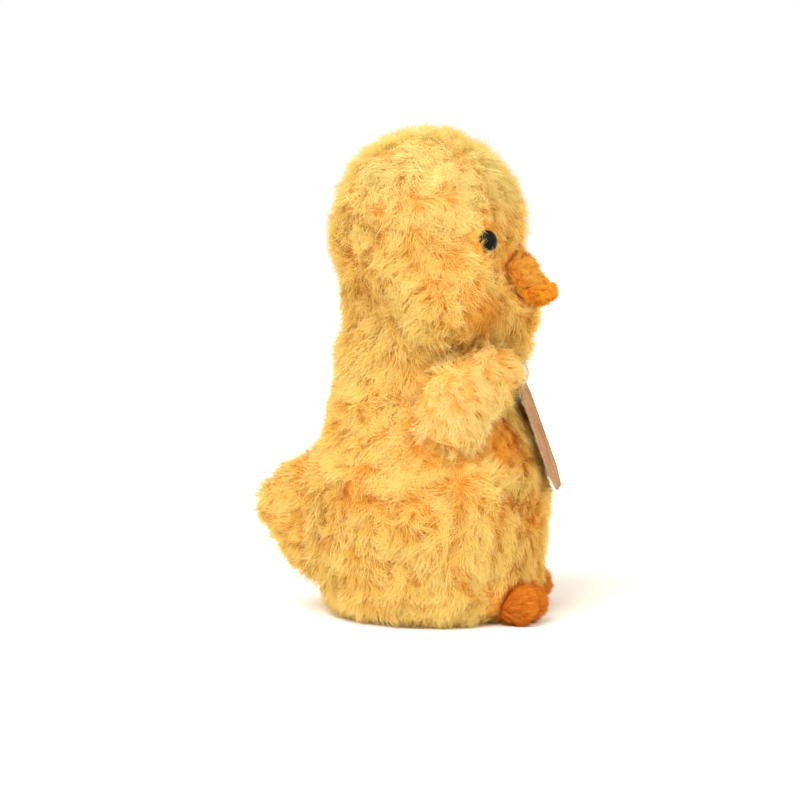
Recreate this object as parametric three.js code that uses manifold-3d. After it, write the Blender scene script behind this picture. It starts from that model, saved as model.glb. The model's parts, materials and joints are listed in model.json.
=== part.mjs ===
// A sitting plush chick, in millimetres. It faces -Y, +Z is up, and it stands on z = 0.
// The origin is the middle of its flat base panel. The outer surfaces are where the pile ends.
import * as THREE from "three";
import { mergeVertices } from "three/addons/utils/BufferGeometryUtils.js";
import Module from "manifold-3d";

const wasm = await Module();
wasm.setup();

// Cloth and clearances
const SEAM_GAP = 0.3; // between pieces that are sewn, pressed or laid together
const PILE_CLOTH = 7; // backing and long pile on the body, head and tail
const WING_CLOTH = 4.5; // the same cloth, pressed flatter on the wings
const SHORT_CLOTH = 2.2; // backing and short pile on the beak and feet

// Body: a belly that spreads on the floor, a chest and a neck
const BELLY_WIDTH = 108;
const BELLY_DEPTH = 103;
const BELLY_HEIGHT = 106;
const BELLY_Z = 40;
const BELLY_FULLNESS = 2.9; // 2 is an ellipsoid, and more is a fuller, flatter-ended form
const CHEST_WIDTH = 84;
const CHEST_DEPTH = 84;
const CHEST_HEIGHT = 92;
const CHEST_Z = 82;
const CHEST_BACK = 2.5; // behind the middle of the belly
const CHEST_FULLNESS = 2.4;
const NECK_WIDTH = 62;
const NECK_DEPTH = 68;
const NECK_HEIGHT = 56;
const NECK_Z = 125;
const BODY_BLEND = 6; // how softly the lobes of the body flow together
const NECK_OPENING = 36; // across the hole where head and body are sewn together
const BASE_PANEL_WIDTH = 58;

// Pellet pouch, the weight that lies on the base panel
const POUCH_INSET = 1; // of its rim from the edge of the base panel
const POUCH_HEIGHT = 18;

// Clumps: the broad swellings that the pile lies in, and the creases between them
const CLUMP_SPACING = 27; // from one clump to the next
const CLUMP_HEIGHT = 1.8; // of a clump, and the depth of a crease, from the smooth form
const BODY_CLUMP = [54, 6, 45]; // one that both sides of the body have, as left or right, back and up
const HEAD_CLUMP = [40, -18, -29]; // the same on the head, from its middle

// Head: a skull, a nape, two cheeks and a chin
const HEAD_Z = 162;
const HEAD_Y = 1;
const HEAD_TURN = 11; // degrees that it looks towards the chick's right
const SKULL_WIDTH = 87;
const SKULL_DEPTH = 84;
const SKULL_HEIGHT = 84;
const SKULL_RISE = 9; // above the middle of the head
const NAPE_SIZE = 52;
const NAPE_BACK = 8;
const NAPE_DROP = 20; // below the middle of the head
const CHEEK_WIDTH = 42;
const CHEEK_DEPTH = 46;
const CHEEK_HEIGHT = 40;
const CHEEK_SPREAD = 54; // between the middles of the two cheeks
const CHEEK_FORWARD = 18;
const CHEEK_DROP = 22; // below the middle of the head
const CHIN_SIZE = 30;
const CHIN_FORWARD = 34;
const CHIN_DROP = 33;
const HEAD_BLEND = 5;

// Eyes: domes on ridged shanks, each locked by a washer inside the head
const EYE_DIAMETER = 10;
const EYE_DOME = 4.2;
const EYE_RIM = 1;
const EYE_SHANK = 4.8;
const EYE_SHANK_LENGTH = 12;
const EYE_RIDGES = 3;
const EYE_RIDGE = 0.35;
const EYE_SINK = 2.6; // how deep the rim sits in the pile
const EYE_BEARING = 35; // degrees from straight ahead, seen from above
const EYE_LIFT = 4; // degrees above the middle of the head
const EYE_INWARD = 12; // degrees that it looks further ahead than the fur round it
const WASHER_DIAMETER = 14;
const WASHER_THICKNESS = 1.6;

// Beak: one stuffed bill, sewn from an upper and a lower panel
const BEAK_WIDTH = 26;
const BEAK_ROOT_HEIGHT = 24;
const BEAK_TIP_WIDTH = 17;
const BEAK_TIP_HEIGHT = 10;
const BEAK_LENGTH = 18.5; // from the face to the tip
const BEAK_DROP = 14; // below the middle of the head
const BEAK_TIP_DROP = 5; // of the tip below the middle of the root
const BEAK_SEAM_RISE = 20; // degrees that the seam climbs towards the tip
const BEAK_BLEND = 3;

// Wings: bent pads, sewn to the sides along their rear edge
const WING_HINGE_Y = 5;
const WING_HINGE_Z = 94;
const WING_INWARD = 28; // degrees that the wing leans in towards the chest
const WING_THICKNESS = 17;
const WING_LOBE = 29; // across each of its three lobes
const WING_REACH = 47; // from the seam to the front edge
const WING_DROP = 14; // of the lower lobe below the seam's middle
const WING_RISE = 15; // of the front lobe above it
const WING_SETBACK = 1; // from the seam to the rear edge of the lower lobe
const WING_BLEND = 4;
const WING_SLOT = 14; // height of the opening that it is stuffed through
const WING_SLOT_DEPTH = 8;

// Feet: an instep and three toes, sewn to the front edge of the base
const FOOT_SPACING = 48; // between the middles of the two feet
const FOOT_FORWARD = 31;
const FOOT_WIDTH = 26;
const FOOT_HEIGHT = 18;
const INSTEP_LENGTH = 26;
const TOE_LENGTH = 18;
const TOE_WIDTH = 10.5;
const TOE_COUNT = 3;
const TOE_FAN = 42; // degrees between neighbouring toes
const TOE_REACH = 11; // from the middle of the instep to the middle of a toe
const FOOT_BLEND = 1.1;
const FOOT_SLOT = 10;

// Tail: a short stuffed wedge
const TAIL_WIDTH = 42;
const TAIL_DEPTH = 46;
const TAIL_HEIGHT = 58;
const TAIL_Z = 44;
const TAIL_OUT = 47; // from the middle of the body
const TAIL_TIP = 20;
const TAIL_REACH = 76; // of its tip, from the middle of the body
const TAIL_RISE = 6;
const TAIL_BLEND = 4;

// Hang tag: a card on a nylon loop that is pulled through the chest cloth
const TAG_WIDTH = 34;
const TAG_LENGTH = 51;
const TAG_THICKNESS = 0.9;
const TAG_CORNER = 8;
const TAG_HOLE = 4.4;
const TAG_HOLE_INSET = 3.7;
const TAG_SLACK = 0.5; // between the filament and the edge of the hole that rests on it
const TAG_STANDOFF = 0.8; // from the middle of the card's thickness to the pile, where they are nearest
const TAG_TWIST = 3; // degrees that it turns towards the chick's right
const LOOP_Z = 106;
const LOOP_DIAMETER = 11; // to the middle of the filament
const LOOP_FILAMENT = 1.2;
const LOOP_DEPTH = 4.4; // how deep the loop runs under the pile
const LOOP_HANG = 57; // degrees below straight ahead where the card hangs on the loop

// Facets
const LARGE_DETAIL = 6;
const MEDIUM_DETAIL = 4;
const INSIDE_DETAIL = 3;
const SMALL_DETAIL = 2;
const ROUND_STEPS = 20;
const DOME_STEPS = 5;
const RIM_STEPS = 8;
const FILAMENT_SIDES = 8;
const LEAN_STEPS = 12;
const REACH_STEP = 1.5;
const BISECTIONS = 16;
const FAR = 400; // larger than the object
const OVERRUN = 1; // of a cut past the face that it opens

const X = new THREE.Vector3(1, 0, 0);
const Y = new THREE.Vector3(0, 1, 0);
const Z = new THREE.Vector3(0, 0, 1);
const RIGHT = -1;
const LEFT = 1;
const SIDES = [
  { side: RIGHT, name: "right" },
  { side: LEFT, name: "left" },
];

const CLUMP_WAYS = [
  [0.2, 1, 0.3],
  [0.5, -0.4, 1],
  [1, 0.5, -0.6],
].map((way) => new THREE.Vector3(...way).normalize());

const radians = THREE.MathUtils.degToRad;

// A lobe is an ellipsoid: its middle, its full sizes and the directions that these run in.
// A fullness above 2 swells its sides, and it stays round when seen along its third direction.
function lobe(middle, sizes, { axes = [X, Y, Z], fullness = 2 } = {}) {
  return {
    middle: new THREE.Vector3(...middle),
    radii: sizes.map((size) => size / 2),
    axes,
    fullness,
  };
}

const offset = new THREE.Vector3();

// Roughly the distance from a point to a lobe's surface, negative inside it.
function lobeDistance({ middle, radii, axes, fullness }, point) {
  offset.subVectors(point, middle);
  const [across, ahead, along] = axes.map((axis, i) => offset.dot(axis) / radii[i]);
  const round = Math.hypot(across, ahead);
  const scaled = (round ** fullness + Math.abs(along) ** fullness) ** (1 / fullness);
  const roundPull = (round / scaled) ** (fullness - 1);
  const alongPull = (Math.abs(along) / scaled) ** (fullness - 1);
  const slope = Math.hypot(
    (roundPull * across) / (round * radii[0]) || 0,
    (roundPull * ahead) / (round * radii[1]) || 0,
    alongPull / radii[2],
  );
  return slope > 0 ? (scaled - 1) / slope : -Math.min(...radii);
}

// A stuffed form is a few lobes that flow into one another, like cloth pulled round its filling.
// Its pile may lie in clumps: these say where one of them is, and in which frame.
function stuffedForm(lobes, blend, middle, detail, clumps = null) {
  return { lobes, blend, middle: new THREE.Vector3(...middle), detail, clumps };
}

// How far the clumps of pile raise a point of the surface, alike on the left and on the right.
function clumpHeight({ middle, axes, clump }, point) {
  offset.subVectors(point, middle);
  const [left, back, up] = axes.map((axis) => offset.dot(axis));
  offset.set(Math.abs(left) - clump[0], back - clump[1], up - clump[2]);
  const wave = (way) => Math.cos((2 * Math.PI * offset.dot(way)) / CLUMP_SPACING);
  return (CLUMP_HEIGHT * CLUMP_WAYS.reduce((total, way) => total + wave(way), 0)) / CLUMP_WAYS.length;
}

function formDistance({ lobes, blend, clumps }, point) {
  const sum = lobes.reduce((total, each) => total + Math.exp(-lobeDistance(each, point) / blend), 0);
  return -blend * Math.log(sum) - (clumps ? clumpHeight(clumps, point) : 0);
}

// The outermost point of a form in one direction from its middle, grown by a distance.
function surfacePoint(form, direction, grown = 0) {
  const span = Math.max(
    ...form.lobes.map(({ middle, radii }) => middle.distanceTo(form.middle) + Math.max(...radii)),
  );
  const at = (reach) => form.middle.clone().addScaledVector(direction, reach);
  let outside = span + form.blend * form.lobes.length + Math.max(grown, 0);
  while (outside > REACH_STEP && formDistance(form, at(outside - REACH_STEP)) > grown) outside -= REACH_STEP;
  let inside = outside - REACH_STEP;
  for (let i = 0; i < BISECTIONS; i++) {
    const half = (inside + outside) / 2;
    if (formDistance(form, at(half)) > grown) outside = half;
    else inside = half;
  }
  return at(outside);
}

function surfaceNormal(form, point) {
  const step = 0.01;
  const slope = (axis) =>
    formDistance(form, point.clone().addScaledVector(axis, step)) -
    formDistance(form, point.clone().addScaledVector(axis, -step));
  return new THREE.Vector3(slope(X), slope(Y), slope(Z)).normalize();
}

function solidOf(geometry) {
  const plain = geometry.clone();
  plain.deleteAttribute("normal");
  plain.deleteAttribute("uv");
  const merged = mergeVertices(plain, 1e-4);
  return new wasm.Manifold(
    new wasm.Mesh({
      numProp: 3,
      vertProperties: new Float32Array(merged.attributes.position.array),
      triVerts: new Uint32Array(merged.index.array),
    }),
  );
}

function geometryOf(solid) {
  const mesh = solid.getMesh();
  return new THREE.BufferGeometry()
    .setAttribute("position", new THREE.BufferAttribute(new Float32Array(mesh.vertProperties), 3))
    .setIndex(new THREE.BufferAttribute(new Uint32Array(mesh.triVerts), 1));
}

// The solid inside a stuffed form, grown or, with a negative distance, shrunk.
function stuffed(form, grown = 0) {
  const ball = new THREE.IcosahedronGeometry(1, form.detail);
  ball.deleteAttribute("normal");
  ball.deleteAttribute("uv");
  const skin = mergeVertices(ball, 1e-4);
  const places = skin.attributes.position;
  const direction = new THREE.Vector3();
  for (let i = 0; i < places.count; i++) {
    direction.fromBufferAttribute(places, i).normalize();
    places.setXYZ(i, ...surfacePoint(form, direction, grown).toArray());
  }
  return solidOf(skin);
}

function box(width, depth, height, middle, turn = new THREE.Quaternion()) {
  const geometry = new THREE.BoxGeometry(width, depth, height);
  return solidOf(geometry.applyQuaternion(turn).translate(...middle));
}

function uprightCylinder(diameter, bottom, top) {
  const geometry = new THREE.CylinderGeometry(diameter / 2, diameter / 2, top - bottom, ROUND_STEPS);
  return solidOf(geometry.rotateX(Math.PI / 2).translate(0, 0, (bottom + top) / 2));
}

const underTheFloor = box(FAR, FAR, FAR, [0, 0, -FAR / 2]);

// Body
const body = stuffedForm(
  [
    lobe([0, 0, BELLY_Z], [BELLY_WIDTH, BELLY_DEPTH, BELLY_HEIGHT], { fullness: BELLY_FULLNESS }),
    lobe([0, CHEST_BACK, CHEST_Z], [CHEST_WIDTH, CHEST_DEPTH, CHEST_HEIGHT], {
      fullness: CHEST_FULLNESS,
    }),
    lobe([0, CHEST_BACK, NECK_Z], [NECK_WIDTH, NECK_DEPTH, NECK_HEIGHT]),
  ],
  BODY_BLEND,
  [0, 0, (BELLY_Z + CHEST_Z) / 2],
  LARGE_DETAIL,
  { middle: new THREE.Vector3(), axes: [X, Y, Z], clump: BODY_CLUMP },
);
const bodyInside = { ...body, detail: INSIDE_DETAIL };
const bodySpace = stuffed(body, SEAM_GAP); // what every neighbour keeps out of
const bodyTop = surfacePoint(body, Z).z;
const baseTop = PILE_CLOTH;

const basePanel = uprightCylinder(BASE_PANEL_WIDTH, 0, baseTop);
const basePanelHole = uprightCylinder(
  BASE_PANEL_WIDTH + 2 * SEAM_GAP,
  -OVERRUN,
  baseTop + OVERRUN,
);
const neckHole = uprightCylinder(NECK_OPENING, NECK_Z, bodyTop + PILE_CLOTH);

// The pouch is a flat cushion of pellets with a rounded rim.
function pouchOutline(grown) {
  const rim = POUCH_HEIGHT / 2;
  const flat = BASE_PANEL_WIDTH / 2 - POUCH_INSET - rim;
  const points = [new THREE.Vector2(0, -rim - grown)];
  for (let i = 0; i <= RIM_STEPS; i++) {
    const turn = (i / RIM_STEPS - 0.5) * Math.PI;
    const across = (rim + grown) * Math.cos(turn);
    points.push(new THREE.Vector2(flat + across, (rim + grown) * Math.sin(turn)));
  }
  points.push(new THREE.Vector2(0, rim + grown));
  return points;
}

function pouch(grown = 0) {
  const height = baseTop + SEAM_GAP + POUCH_HEIGHT / 2;
  const cushion = new THREE.LatheGeometry(pouchOutline(grown), ROUND_STEPS);
  return solidOf(cushion.rotateX(Math.PI / 2).translate(0, 0, height));
}

// Head. Places on it are given from its middle, as left, ahead and up in its own turned frame.
const headTurn = new THREE.Quaternion().setFromAxisAngle(Z, radians(-HEAD_TURN));
const headAxes = [X, Y, Z].map((axis) => axis.clone().applyQuaternion(headTurn));
const headMiddle = new THREE.Vector3(0, HEAD_Y, HEAD_Z);

function onHead(left, ahead, up) {
  return new THREE.Vector3(left, -ahead, up).applyQuaternion(headTurn).add(headMiddle);
}

function headLobe(left, ahead, up, sizes) {
  return lobe(onHead(left, ahead, up).toArray(), sizes, { axes: headAxes });
}

const cheekSizes = [CHEEK_WIDTH, CHEEK_DEPTH, CHEEK_HEIGHT];
const head = stuffedForm(
  [
    headLobe(0, 0, SKULL_RISE, [SKULL_WIDTH, SKULL_DEPTH, SKULL_HEIGHT]),
    headLobe(0, -NAPE_BACK, -NAPE_DROP, [NAPE_SIZE, NAPE_SIZE, NAPE_SIZE]),
    ...SIDES.map(({ side }) =>
      headLobe((side * CHEEK_SPREAD) / 2, CHEEK_FORWARD, -CHEEK_DROP, cheekSizes),
    ),
    headLobe(0, CHIN_FORWARD, -CHIN_DROP, [CHIN_SIZE, CHIN_SIZE, CHIN_SIZE]),
  ],
  HEAD_BLEND,
  [0, HEAD_Y, HEAD_Z - CHEEK_DROP / 2],
  LARGE_DETAIL,
  { middle: headMiddle, axes: headAxes, clump: HEAD_CLUMP },
);
const headInside = { ...head, detail: INSIDE_DETAIL };
const smoothHead = { ...head, clumps: null };
const headSpace = stuffed(head, SEAM_GAP);

// Eyes. Heights run outwards from the rim's upper edge, where the dome starts.
const eyeEnd = -EYE_RIM - EYE_SHANK_LENGTH;

function shankOutline() {
  const pitch = EYE_SHANK_LENGTH / (EYE_RIDGES + 2);
  const radius = EYE_SHANK / 2;
  const points = [
    [0, eyeEnd],
    [radius, eyeEnd],
  ];
  for (let i = 1; i <= EYE_RIDGES; i++) {
    points.push([radius, eyeEnd + pitch * i], [radius + EYE_RIDGE, eyeEnd + pitch * (i + 0.5)]);
  }
  points.push([radius, eyeEnd + pitch * (EYE_RIDGES + 1)], [radius, -EYE_RIM]);
  return points;
}

function domeOutline(grown) {
  const radius = EYE_DIAMETER / 2 + grown;
  const points = [[radius, -EYE_RIM - grown]];
  for (let i = 0; i < DOME_STEPS; i++) {
    const turn = (i * Math.PI) / 2 / DOME_STEPS;
    points.push([radius * Math.cos(turn), (EYE_DOME + grown) * Math.sin(turn)]);
  }
  points.push([0, EYE_DOME + grown]);
  return points;
}

function turned(outline) {
  const points = outline.map(([across, height]) => new THREE.Vector2(across, height));
  return new THREE.LatheGeometry(points, ROUND_STEPS);
}

const bore = EYE_SHANK / 2 + EYE_RIDGE + SEAM_GAP;
const eyeGeometry = turned([...shankOutline(), ...domeOutline(0)]);
const eyePocket = turned([
  [0, eyeEnd - SEAM_GAP],
  [bore, eyeEnd - SEAM_GAP],
  [bore, -EYE_RIM - SEAM_GAP],
  ...domeOutline(SEAM_GAP),
]);
const washerTop = -(PILE_CLOTH - EYE_SINK) - SEAM_GAP;

function washerOutline(inner, grown) {
  const outer = WASHER_DIAMETER / 2 + grown;
  const bottom = washerTop - WASHER_THICKNESS - grown;
  const top = washerTop + grown;
  return [
    [inner, bottom],
    [outer, bottom],
    [outer, top],
    [inner, top],
  ];
}

const washerGeometry = turned([...washerOutline(bore, 0), washerOutline(bore, 0)[0]]);
const washerPocket = turned(washerOutline(0, SEAM_GAP));

// Where an eye sits and which way it looks.
const eyeSeats = SIDES.map(({ side, name }) => {
  const bearing = radians(EYE_BEARING);
  const lift = radians(EYE_LIFT);
  const target = new THREE.Vector3(
    side * Math.sin(bearing) * Math.cos(lift),
    -Math.cos(bearing) * Math.cos(lift),
    Math.sin(lift),
  ).applyQuaternion(headTurn);
  const surface = surfacePoint({ ...smoothHead, middle: headMiddle }, target);
  const out = surfaceNormal(smoothHead, surface).applyAxisAngle(Z, -side * radians(EYE_INWARD));
  const turn = new THREE.Quaternion().setFromUnitVectors(Y, out);
  return { name, turn, place: surface.addScaledVector(out, -EYE_SINK) };
});

function seated(geometry, { turn, place }) {
  return solidOf(geometry.clone().applyQuaternion(turn).translate(...place.toArray()));
}

// Beak. Its root lobe is half buried, and the face cuts it to fit.
const beakMiddle = onHead(0, 0, -BEAK_DROP);
const faceAhead = Y.clone().negate().applyQuaternion(headTurn);
const beakReach = surfacePoint({ ...smoothHead, middle: beakMiddle }, faceAhead).distanceTo(beakMiddle);
const beakTipUp = -BEAK_DROP - BEAK_TIP_DROP;
const beak = stuffedForm(
  [
    headLobe(0, beakReach, -BEAK_DROP, [BEAK_WIDTH, BEAK_LENGTH, BEAK_ROOT_HEIGHT]),
    headLobe(0, beakReach + BEAK_LENGTH - BEAK_TIP_WIDTH / 2, beakTipUp, [
      BEAK_TIP_WIDTH,
      BEAK_TIP_WIDTH,
      BEAK_TIP_HEIGHT,
    ]),
  ],
  BEAK_BLEND,
  onHead(0, beakReach + BEAK_LENGTH / 10, beakTipUp + BEAK_TIP_HEIGHT / 10).toArray(),
  MEDIUM_DETAIL,
);
const beakInside = { ...beak, detail: SMALL_DETAIL };
const beakSeamTurn = new THREE.Quaternion()
  .setFromAxisAngle(X, radians(-BEAK_SEAM_RISE))
  .premultiply(headTurn);
const beakSeamUp = Z.clone().applyQuaternion(beakSeamTurn);
const beakSeamAt = onHead(0, beakReach, beakTipUp - BEAK_TIP_HEIGHT / 10);

// Everything on one side of the beak's seam: 1 above it, -1 below it.
function besideBeakSeam(way) {
  const middle = beakSeamAt.clone().addScaledVector(beakSeamUp, way * (FAR / 2 + SEAM_GAP / 2));
  return box(FAR, FAR, FAR, middle.toArray(), beakSeamTurn);
}

// Tail
const tail = stuffedForm(
  [
    lobe([0, TAIL_OUT, TAIL_Z], [TAIL_WIDTH, TAIL_DEPTH, TAIL_HEIGHT]),
    lobe(
      [0, TAIL_REACH - TAIL_TIP / 2, TAIL_Z + TAIL_RISE],
      [TAIL_TIP, TAIL_TIP, TAIL_TIP],
    ),
  ],
  TAIL_BLEND,
  [0, TAIL_OUT, TAIL_Z],
  MEDIUM_DETAIL,
);
const tailInside = { ...tail, detail: SMALL_DETAIL };

// A limb that moves is closed all round, apart from the slot in its root that it is stuffed through.
function limb(form, cloth, slot) {
  const outer = stuffed(form).subtract(bodySpace).subtract(underTheFloor);
  const hollow = (wall) =>
    stuffed({ ...form, detail: SMALL_DETAIL }, -wall)
      .subtract(stuffed(body, SEAM_GAP + wall))
      .subtract(box(FAR, FAR, FAR, [0, 0, wall - FAR / 2]));
  return {
    cover: outer.subtract(hollow(cloth)).subtract(slot),
    stuffing: hollow(cloth + SEAM_GAP),
  };
}

// Wings. Each is laid out along the way that it leans: ahead from its seam, outwards and up.
function wingForm(side) {
  const lean = radians(WING_INWARD);
  const ahead = new THREE.Vector3(-side * Math.sin(lean), -Math.cos(lean), 0);
  const outwards = new THREE.Vector3(side * Math.cos(lean), -Math.sin(lean), 0);
  const axes = [ahead, outwards, Z];
  const seat = surfacePoint(
    { ...body, middle: new THREE.Vector3(0, WING_HINGE_Y, WING_HINGE_Z) },
    new THREE.Vector3(side, 0, 0),
  );
  const place = (forward, rise) =>
    seat
      .clone()
      .addScaledVector(ahead, forward)
      .addScaledVector(outwards, WING_THICKNESS / 2)
      .addScaledVector(Z, rise)
      .toArray();
  const half = WING_LOBE / 2;
  const sizes = [WING_LOBE, WING_THICKNESS, WING_LOBE];
  const bend = place(half + 2 * WING_SETBACK, WING_RISE / 3);
  const form = stuffedForm(
    [
      lobe(place(half + WING_SETBACK, -WING_DROP), sizes, { axes }),
      lobe(bend, sizes, { axes }),
      lobe(place(WING_REACH - half, WING_RISE), sizes, { axes }),
    ],
    WING_BLEND,
    bend,
    MEDIUM_DETAIL,
  );
  return { form, seat };
}

// Feet
function footForm(side) {
  const middle = new THREE.Vector3((side * FOOT_SPACING) / 2, -FOOT_FORWARD, FOOT_HEIGHT / 2);
  const toes = [];
  for (let i = 0; i < TOE_COUNT; i++) {
    const turn = radians(TOE_FAN) * (i - (TOE_COUNT - 1) / 2);
    const ahead = new THREE.Vector3(Math.sin(turn), -Math.cos(turn), 0);
    const across = new THREE.Vector3(Math.cos(turn), Math.sin(turn), 0);
    const at = middle.clone().addScaledVector(ahead, TOE_REACH);
    const axes = [across, ahead, Z];
    toes.push(lobe(at.toArray(), [TOE_WIDTH, TOE_LENGTH, FOOT_HEIGHT], { axes }));
  }
  return stuffedForm(
    [lobe(middle.toArray(), [FOOT_WIDTH, INSTEP_LENGTH, FOOT_HEIGHT]), ...toes],
    FOOT_BLEND,
    [middle.x, middle.y - TOE_REACH / 2, middle.z],
    LARGE_DETAIL,
  );
}

// Hang tag and its loop
const chest = surfacePoint(
  { ...body, middle: new THREE.Vector3(0, 0, LOOP_Z) },
  new THREE.Vector3(0, -1, 0),
);
const chestOut = surfaceNormal(body, chest);
const loopMiddle = chest.clone().addScaledVector(chestOut, LOOP_DIAMETER / 2 - LOOP_DEPTH);
const tagTwist = new THREE.Quaternion().setFromAxisAngle(Z, radians(-TAG_TWIST));
const loopHang = new THREE.Vector3(0, -Math.cos(radians(LOOP_HANG)), -Math.sin(radians(LOOP_HANG)));
const tagPlace = loopMiddle
  .clone()
  .addScaledVector(loopHang.applyQuaternion(tagTwist), LOOP_DIAMETER / 2);

// How near the card comes to the body when it leans this far, in radians.
function tagDistance(lean) {
  const down = new THREE.Vector3(0, -Math.sin(lean), -Math.cos(lean)).applyQuaternion(tagTwist);
  const across = X.clone().applyQuaternion(tagTwist);
  const distances = [];
  for (let i = 1; i <= LEAN_STEPS; i++) {
    const along = (i * (TAG_LENGTH - TAG_HOLE_INSET)) / LEAN_STEPS;
    for (const side of [RIGHT, 0, LEFT]) {
      const point = tagPlace.clone().addScaledVector(down, along);
      distances.push(formDistance(body, point.addScaledVector(across, (side * TAG_WIDTH) / 2)));
    }
  }
  return Math.min(...distances);
}

// The card leans just far enough to lie along the belly.
function tagLean() {
  let under = 0;
  let over = Math.PI / 2;
  for (let i = 0; i < BISECTIONS; i++) {
    const half = (under + over) / 2;
    if (tagDistance(half) < TAG_STANDOFF) under = half;
    else over = half;
  }
  return over;
}

const tagTurn = new THREE.Quaternion().setFromAxisAngle(X, -tagLean()).premultiply(tagTwist);

function loop(filament) {
  const ring = new THREE.TorusGeometry(LOOP_DIAMETER / 2, filament / 2, FILAMENT_SIDES, ROUND_STEPS);
  return ring.rotateY(Math.PI / 2);
}

// The card has cut corners, and the top edge of its hole rests on the filament at the origin.
function tagGeometry() {
  const hang = TAG_HOLE / 2 - LOOP_FILAMENT / 2 - TAG_SLACK;
  const half = TAG_WIDTH / 2;
  const top = TAG_HOLE_INSET;
  const bottom = TAG_HOLE_INSET - TAG_LENGTH;
  const outline = new THREE.Shape([
    new THREE.Vector2(-half, bottom + TAG_CORNER),
    new THREE.Vector2(-half + TAG_CORNER, bottom),
    new THREE.Vector2(half - TAG_CORNER, bottom),
    new THREE.Vector2(half, bottom + TAG_CORNER),
    new THREE.Vector2(half, top - TAG_CORNER),
    new THREE.Vector2(half - TAG_CORNER, top),
    new THREE.Vector2(-half + TAG_CORNER, top),
    new THREE.Vector2(-half, top - TAG_CORNER),
  ]);
  outline.holes.push(new THREE.Path().absarc(0, 0, TAG_HOLE / 2, 0, 2 * Math.PI, true));
  const card = new THREE.ExtrudeGeometry(outline, {
    depth: TAG_THICKNESS,
    bevelEnabled: false,
    curveSegments: ROUND_STEPS / 2,
  });
  return card.translate(0, -hang, -TAG_THICKNESS / 2).rotateX(Math.PI / 2);
}

// Materials
const golden = new THREE.MeshStandardMaterial({ color: 0xf2b95c, roughness: 0.95 });
const cream = new THREE.MeshStandardMaterial({ color: 0xfbcd74, roughness: 0.95 });
const orange = new THREE.MeshStandardMaterial({ color: 0xdd8a30, roughness: 0.9 });
const fibre = new THREE.MeshStandardMaterial({ color: 0xf4f1ea, roughness: 1 });
const linen = new THREE.MeshStandardMaterial({ color: 0xd9cfbd, roughness: 0.9 });
const eyeBlack = new THREE.MeshStandardMaterial({ color: 0x0d0a09, roughness: 0.08 });
const washerWhite = new THREE.MeshStandardMaterial({ color: 0xe8e8e4, roughness: 0.5 });
const kraft = new THREE.MeshStandardMaterial({ color: 0xa97b55, roughness: 0.85 });
const nylon = new THREE.MeshStandardMaterial({ color: 0xe9e4d8, roughness: 0.35 });

function piece(name, shape, material, parent) {
  const mesh = new THREE.Mesh(shape.isBufferGeometry ? shape : geometryOf(shape), material);
  mesh.name = name;
  parent.add(mesh);
  return mesh;
}

function makeTorso() {
  const torso = new THREE.Group();
  const tunnel = solidOf(
    loop(LOOP_FILAMENT + 2 * SEAM_GAP).applyQuaternion(tagTwist).translate(...loopMiddle.toArray()),
  );
  const cover = stuffed(body)
    .subtract(stuffed(bodyInside, -PILE_CLOTH))
    .subtract(underTheFloor)
    .subtract(basePanelHole)
    .subtract(neckHole)
    .subtract(tunnel);
  piece("body_cover", cover, golden, torso);
  piece("base_panel", basePanel, golden, torso);
  piece("pellet_pouch", pouch(), linen, torso);
  const bodyFilling = stuffed(bodyInside, -PILE_CLOTH - SEAM_GAP)
    .subtract(box(FAR, FAR, FAR, [0, 0, baseTop + SEAM_GAP - FAR / 2]))
    .subtract(pouch(SEAM_GAP));
  piece("body_stuffing", bodyFilling, fibre, torso);
  const tailCover = stuffed(tail).subtract(stuffed(tailInside, -PILE_CLOTH));
  piece("tail_cover", tailCover.subtract(bodySpace), golden, torso);
  const tailFilling = stuffed(tailInside, -PILE_CLOTH - SEAM_GAP);
  piece("tail_stuffing", tailFilling.subtract(bodySpace), fibre, torso);
  const ring = piece("tag_loop", loop(LOOP_FILAMENT), nylon, torso);
  ring.position.copy(loopMiddle);
  ring.quaternion.copy(tagTwist);
  return torso;
}

function makeHead() {
  const group = new THREE.Group();
  const eyes = eyeSeats.map((seat) => seated(eyePocket, seat).add(seated(washerPocket, seat)));
  let cover = stuffed(head)
    .subtract(stuffed(headInside, -PILE_CLOTH))
    .subtract(bodySpace)
    .subtract(neckHole);
  // The filling comes down through the neck and meets the body's filling.
  const neckFilling = uprightCylinder(NECK_OPENING - 2 * SEAM_GAP, NECK_Z, HEAD_Z);
  let filling = stuffed(headInside, -PILE_CLOTH - SEAM_GAP)
    .subtract(bodySpace)
    .add(neckFilling.subtract(stuffed(bodyInside, -PILE_CLOTH)));
  for (const pocket of eyes) {
    cover = cover.subtract(pocket);
    filling = filling.subtract(pocket);
  }
  piece("head_cover", cover, golden, group);
  piece("head_stuffing", filling, fibre, group);
  for (const { name, turn, place } of eyeSeats) {
    const seat = new THREE.Group();
    seat.quaternion.copy(turn);
    seat.position.copy(place);
    piece(`eye_${name}`, eyeGeometry, eyeBlack, seat);
    piece(`eye_washer_${name}`, washerGeometry, washerWhite, seat);
    group.add(seat);
  }
  const beakShell = stuffed(beak).subtract(stuffed(beakInside, -SHORT_CLOTH)).subtract(headSpace);
  piece("beak_upper", beakShell.intersect(besideBeakSeam(1)), orange, group);
  piece("beak_lower", beakShell.intersect(besideBeakSeam(-1)), orange, group);
  const beakFilling = stuffed(beakInside, -SHORT_CLOTH - SEAM_GAP);
  piece("beak_stuffing", beakFilling.subtract(headSpace), fibre, group);
  return group;
}

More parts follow.
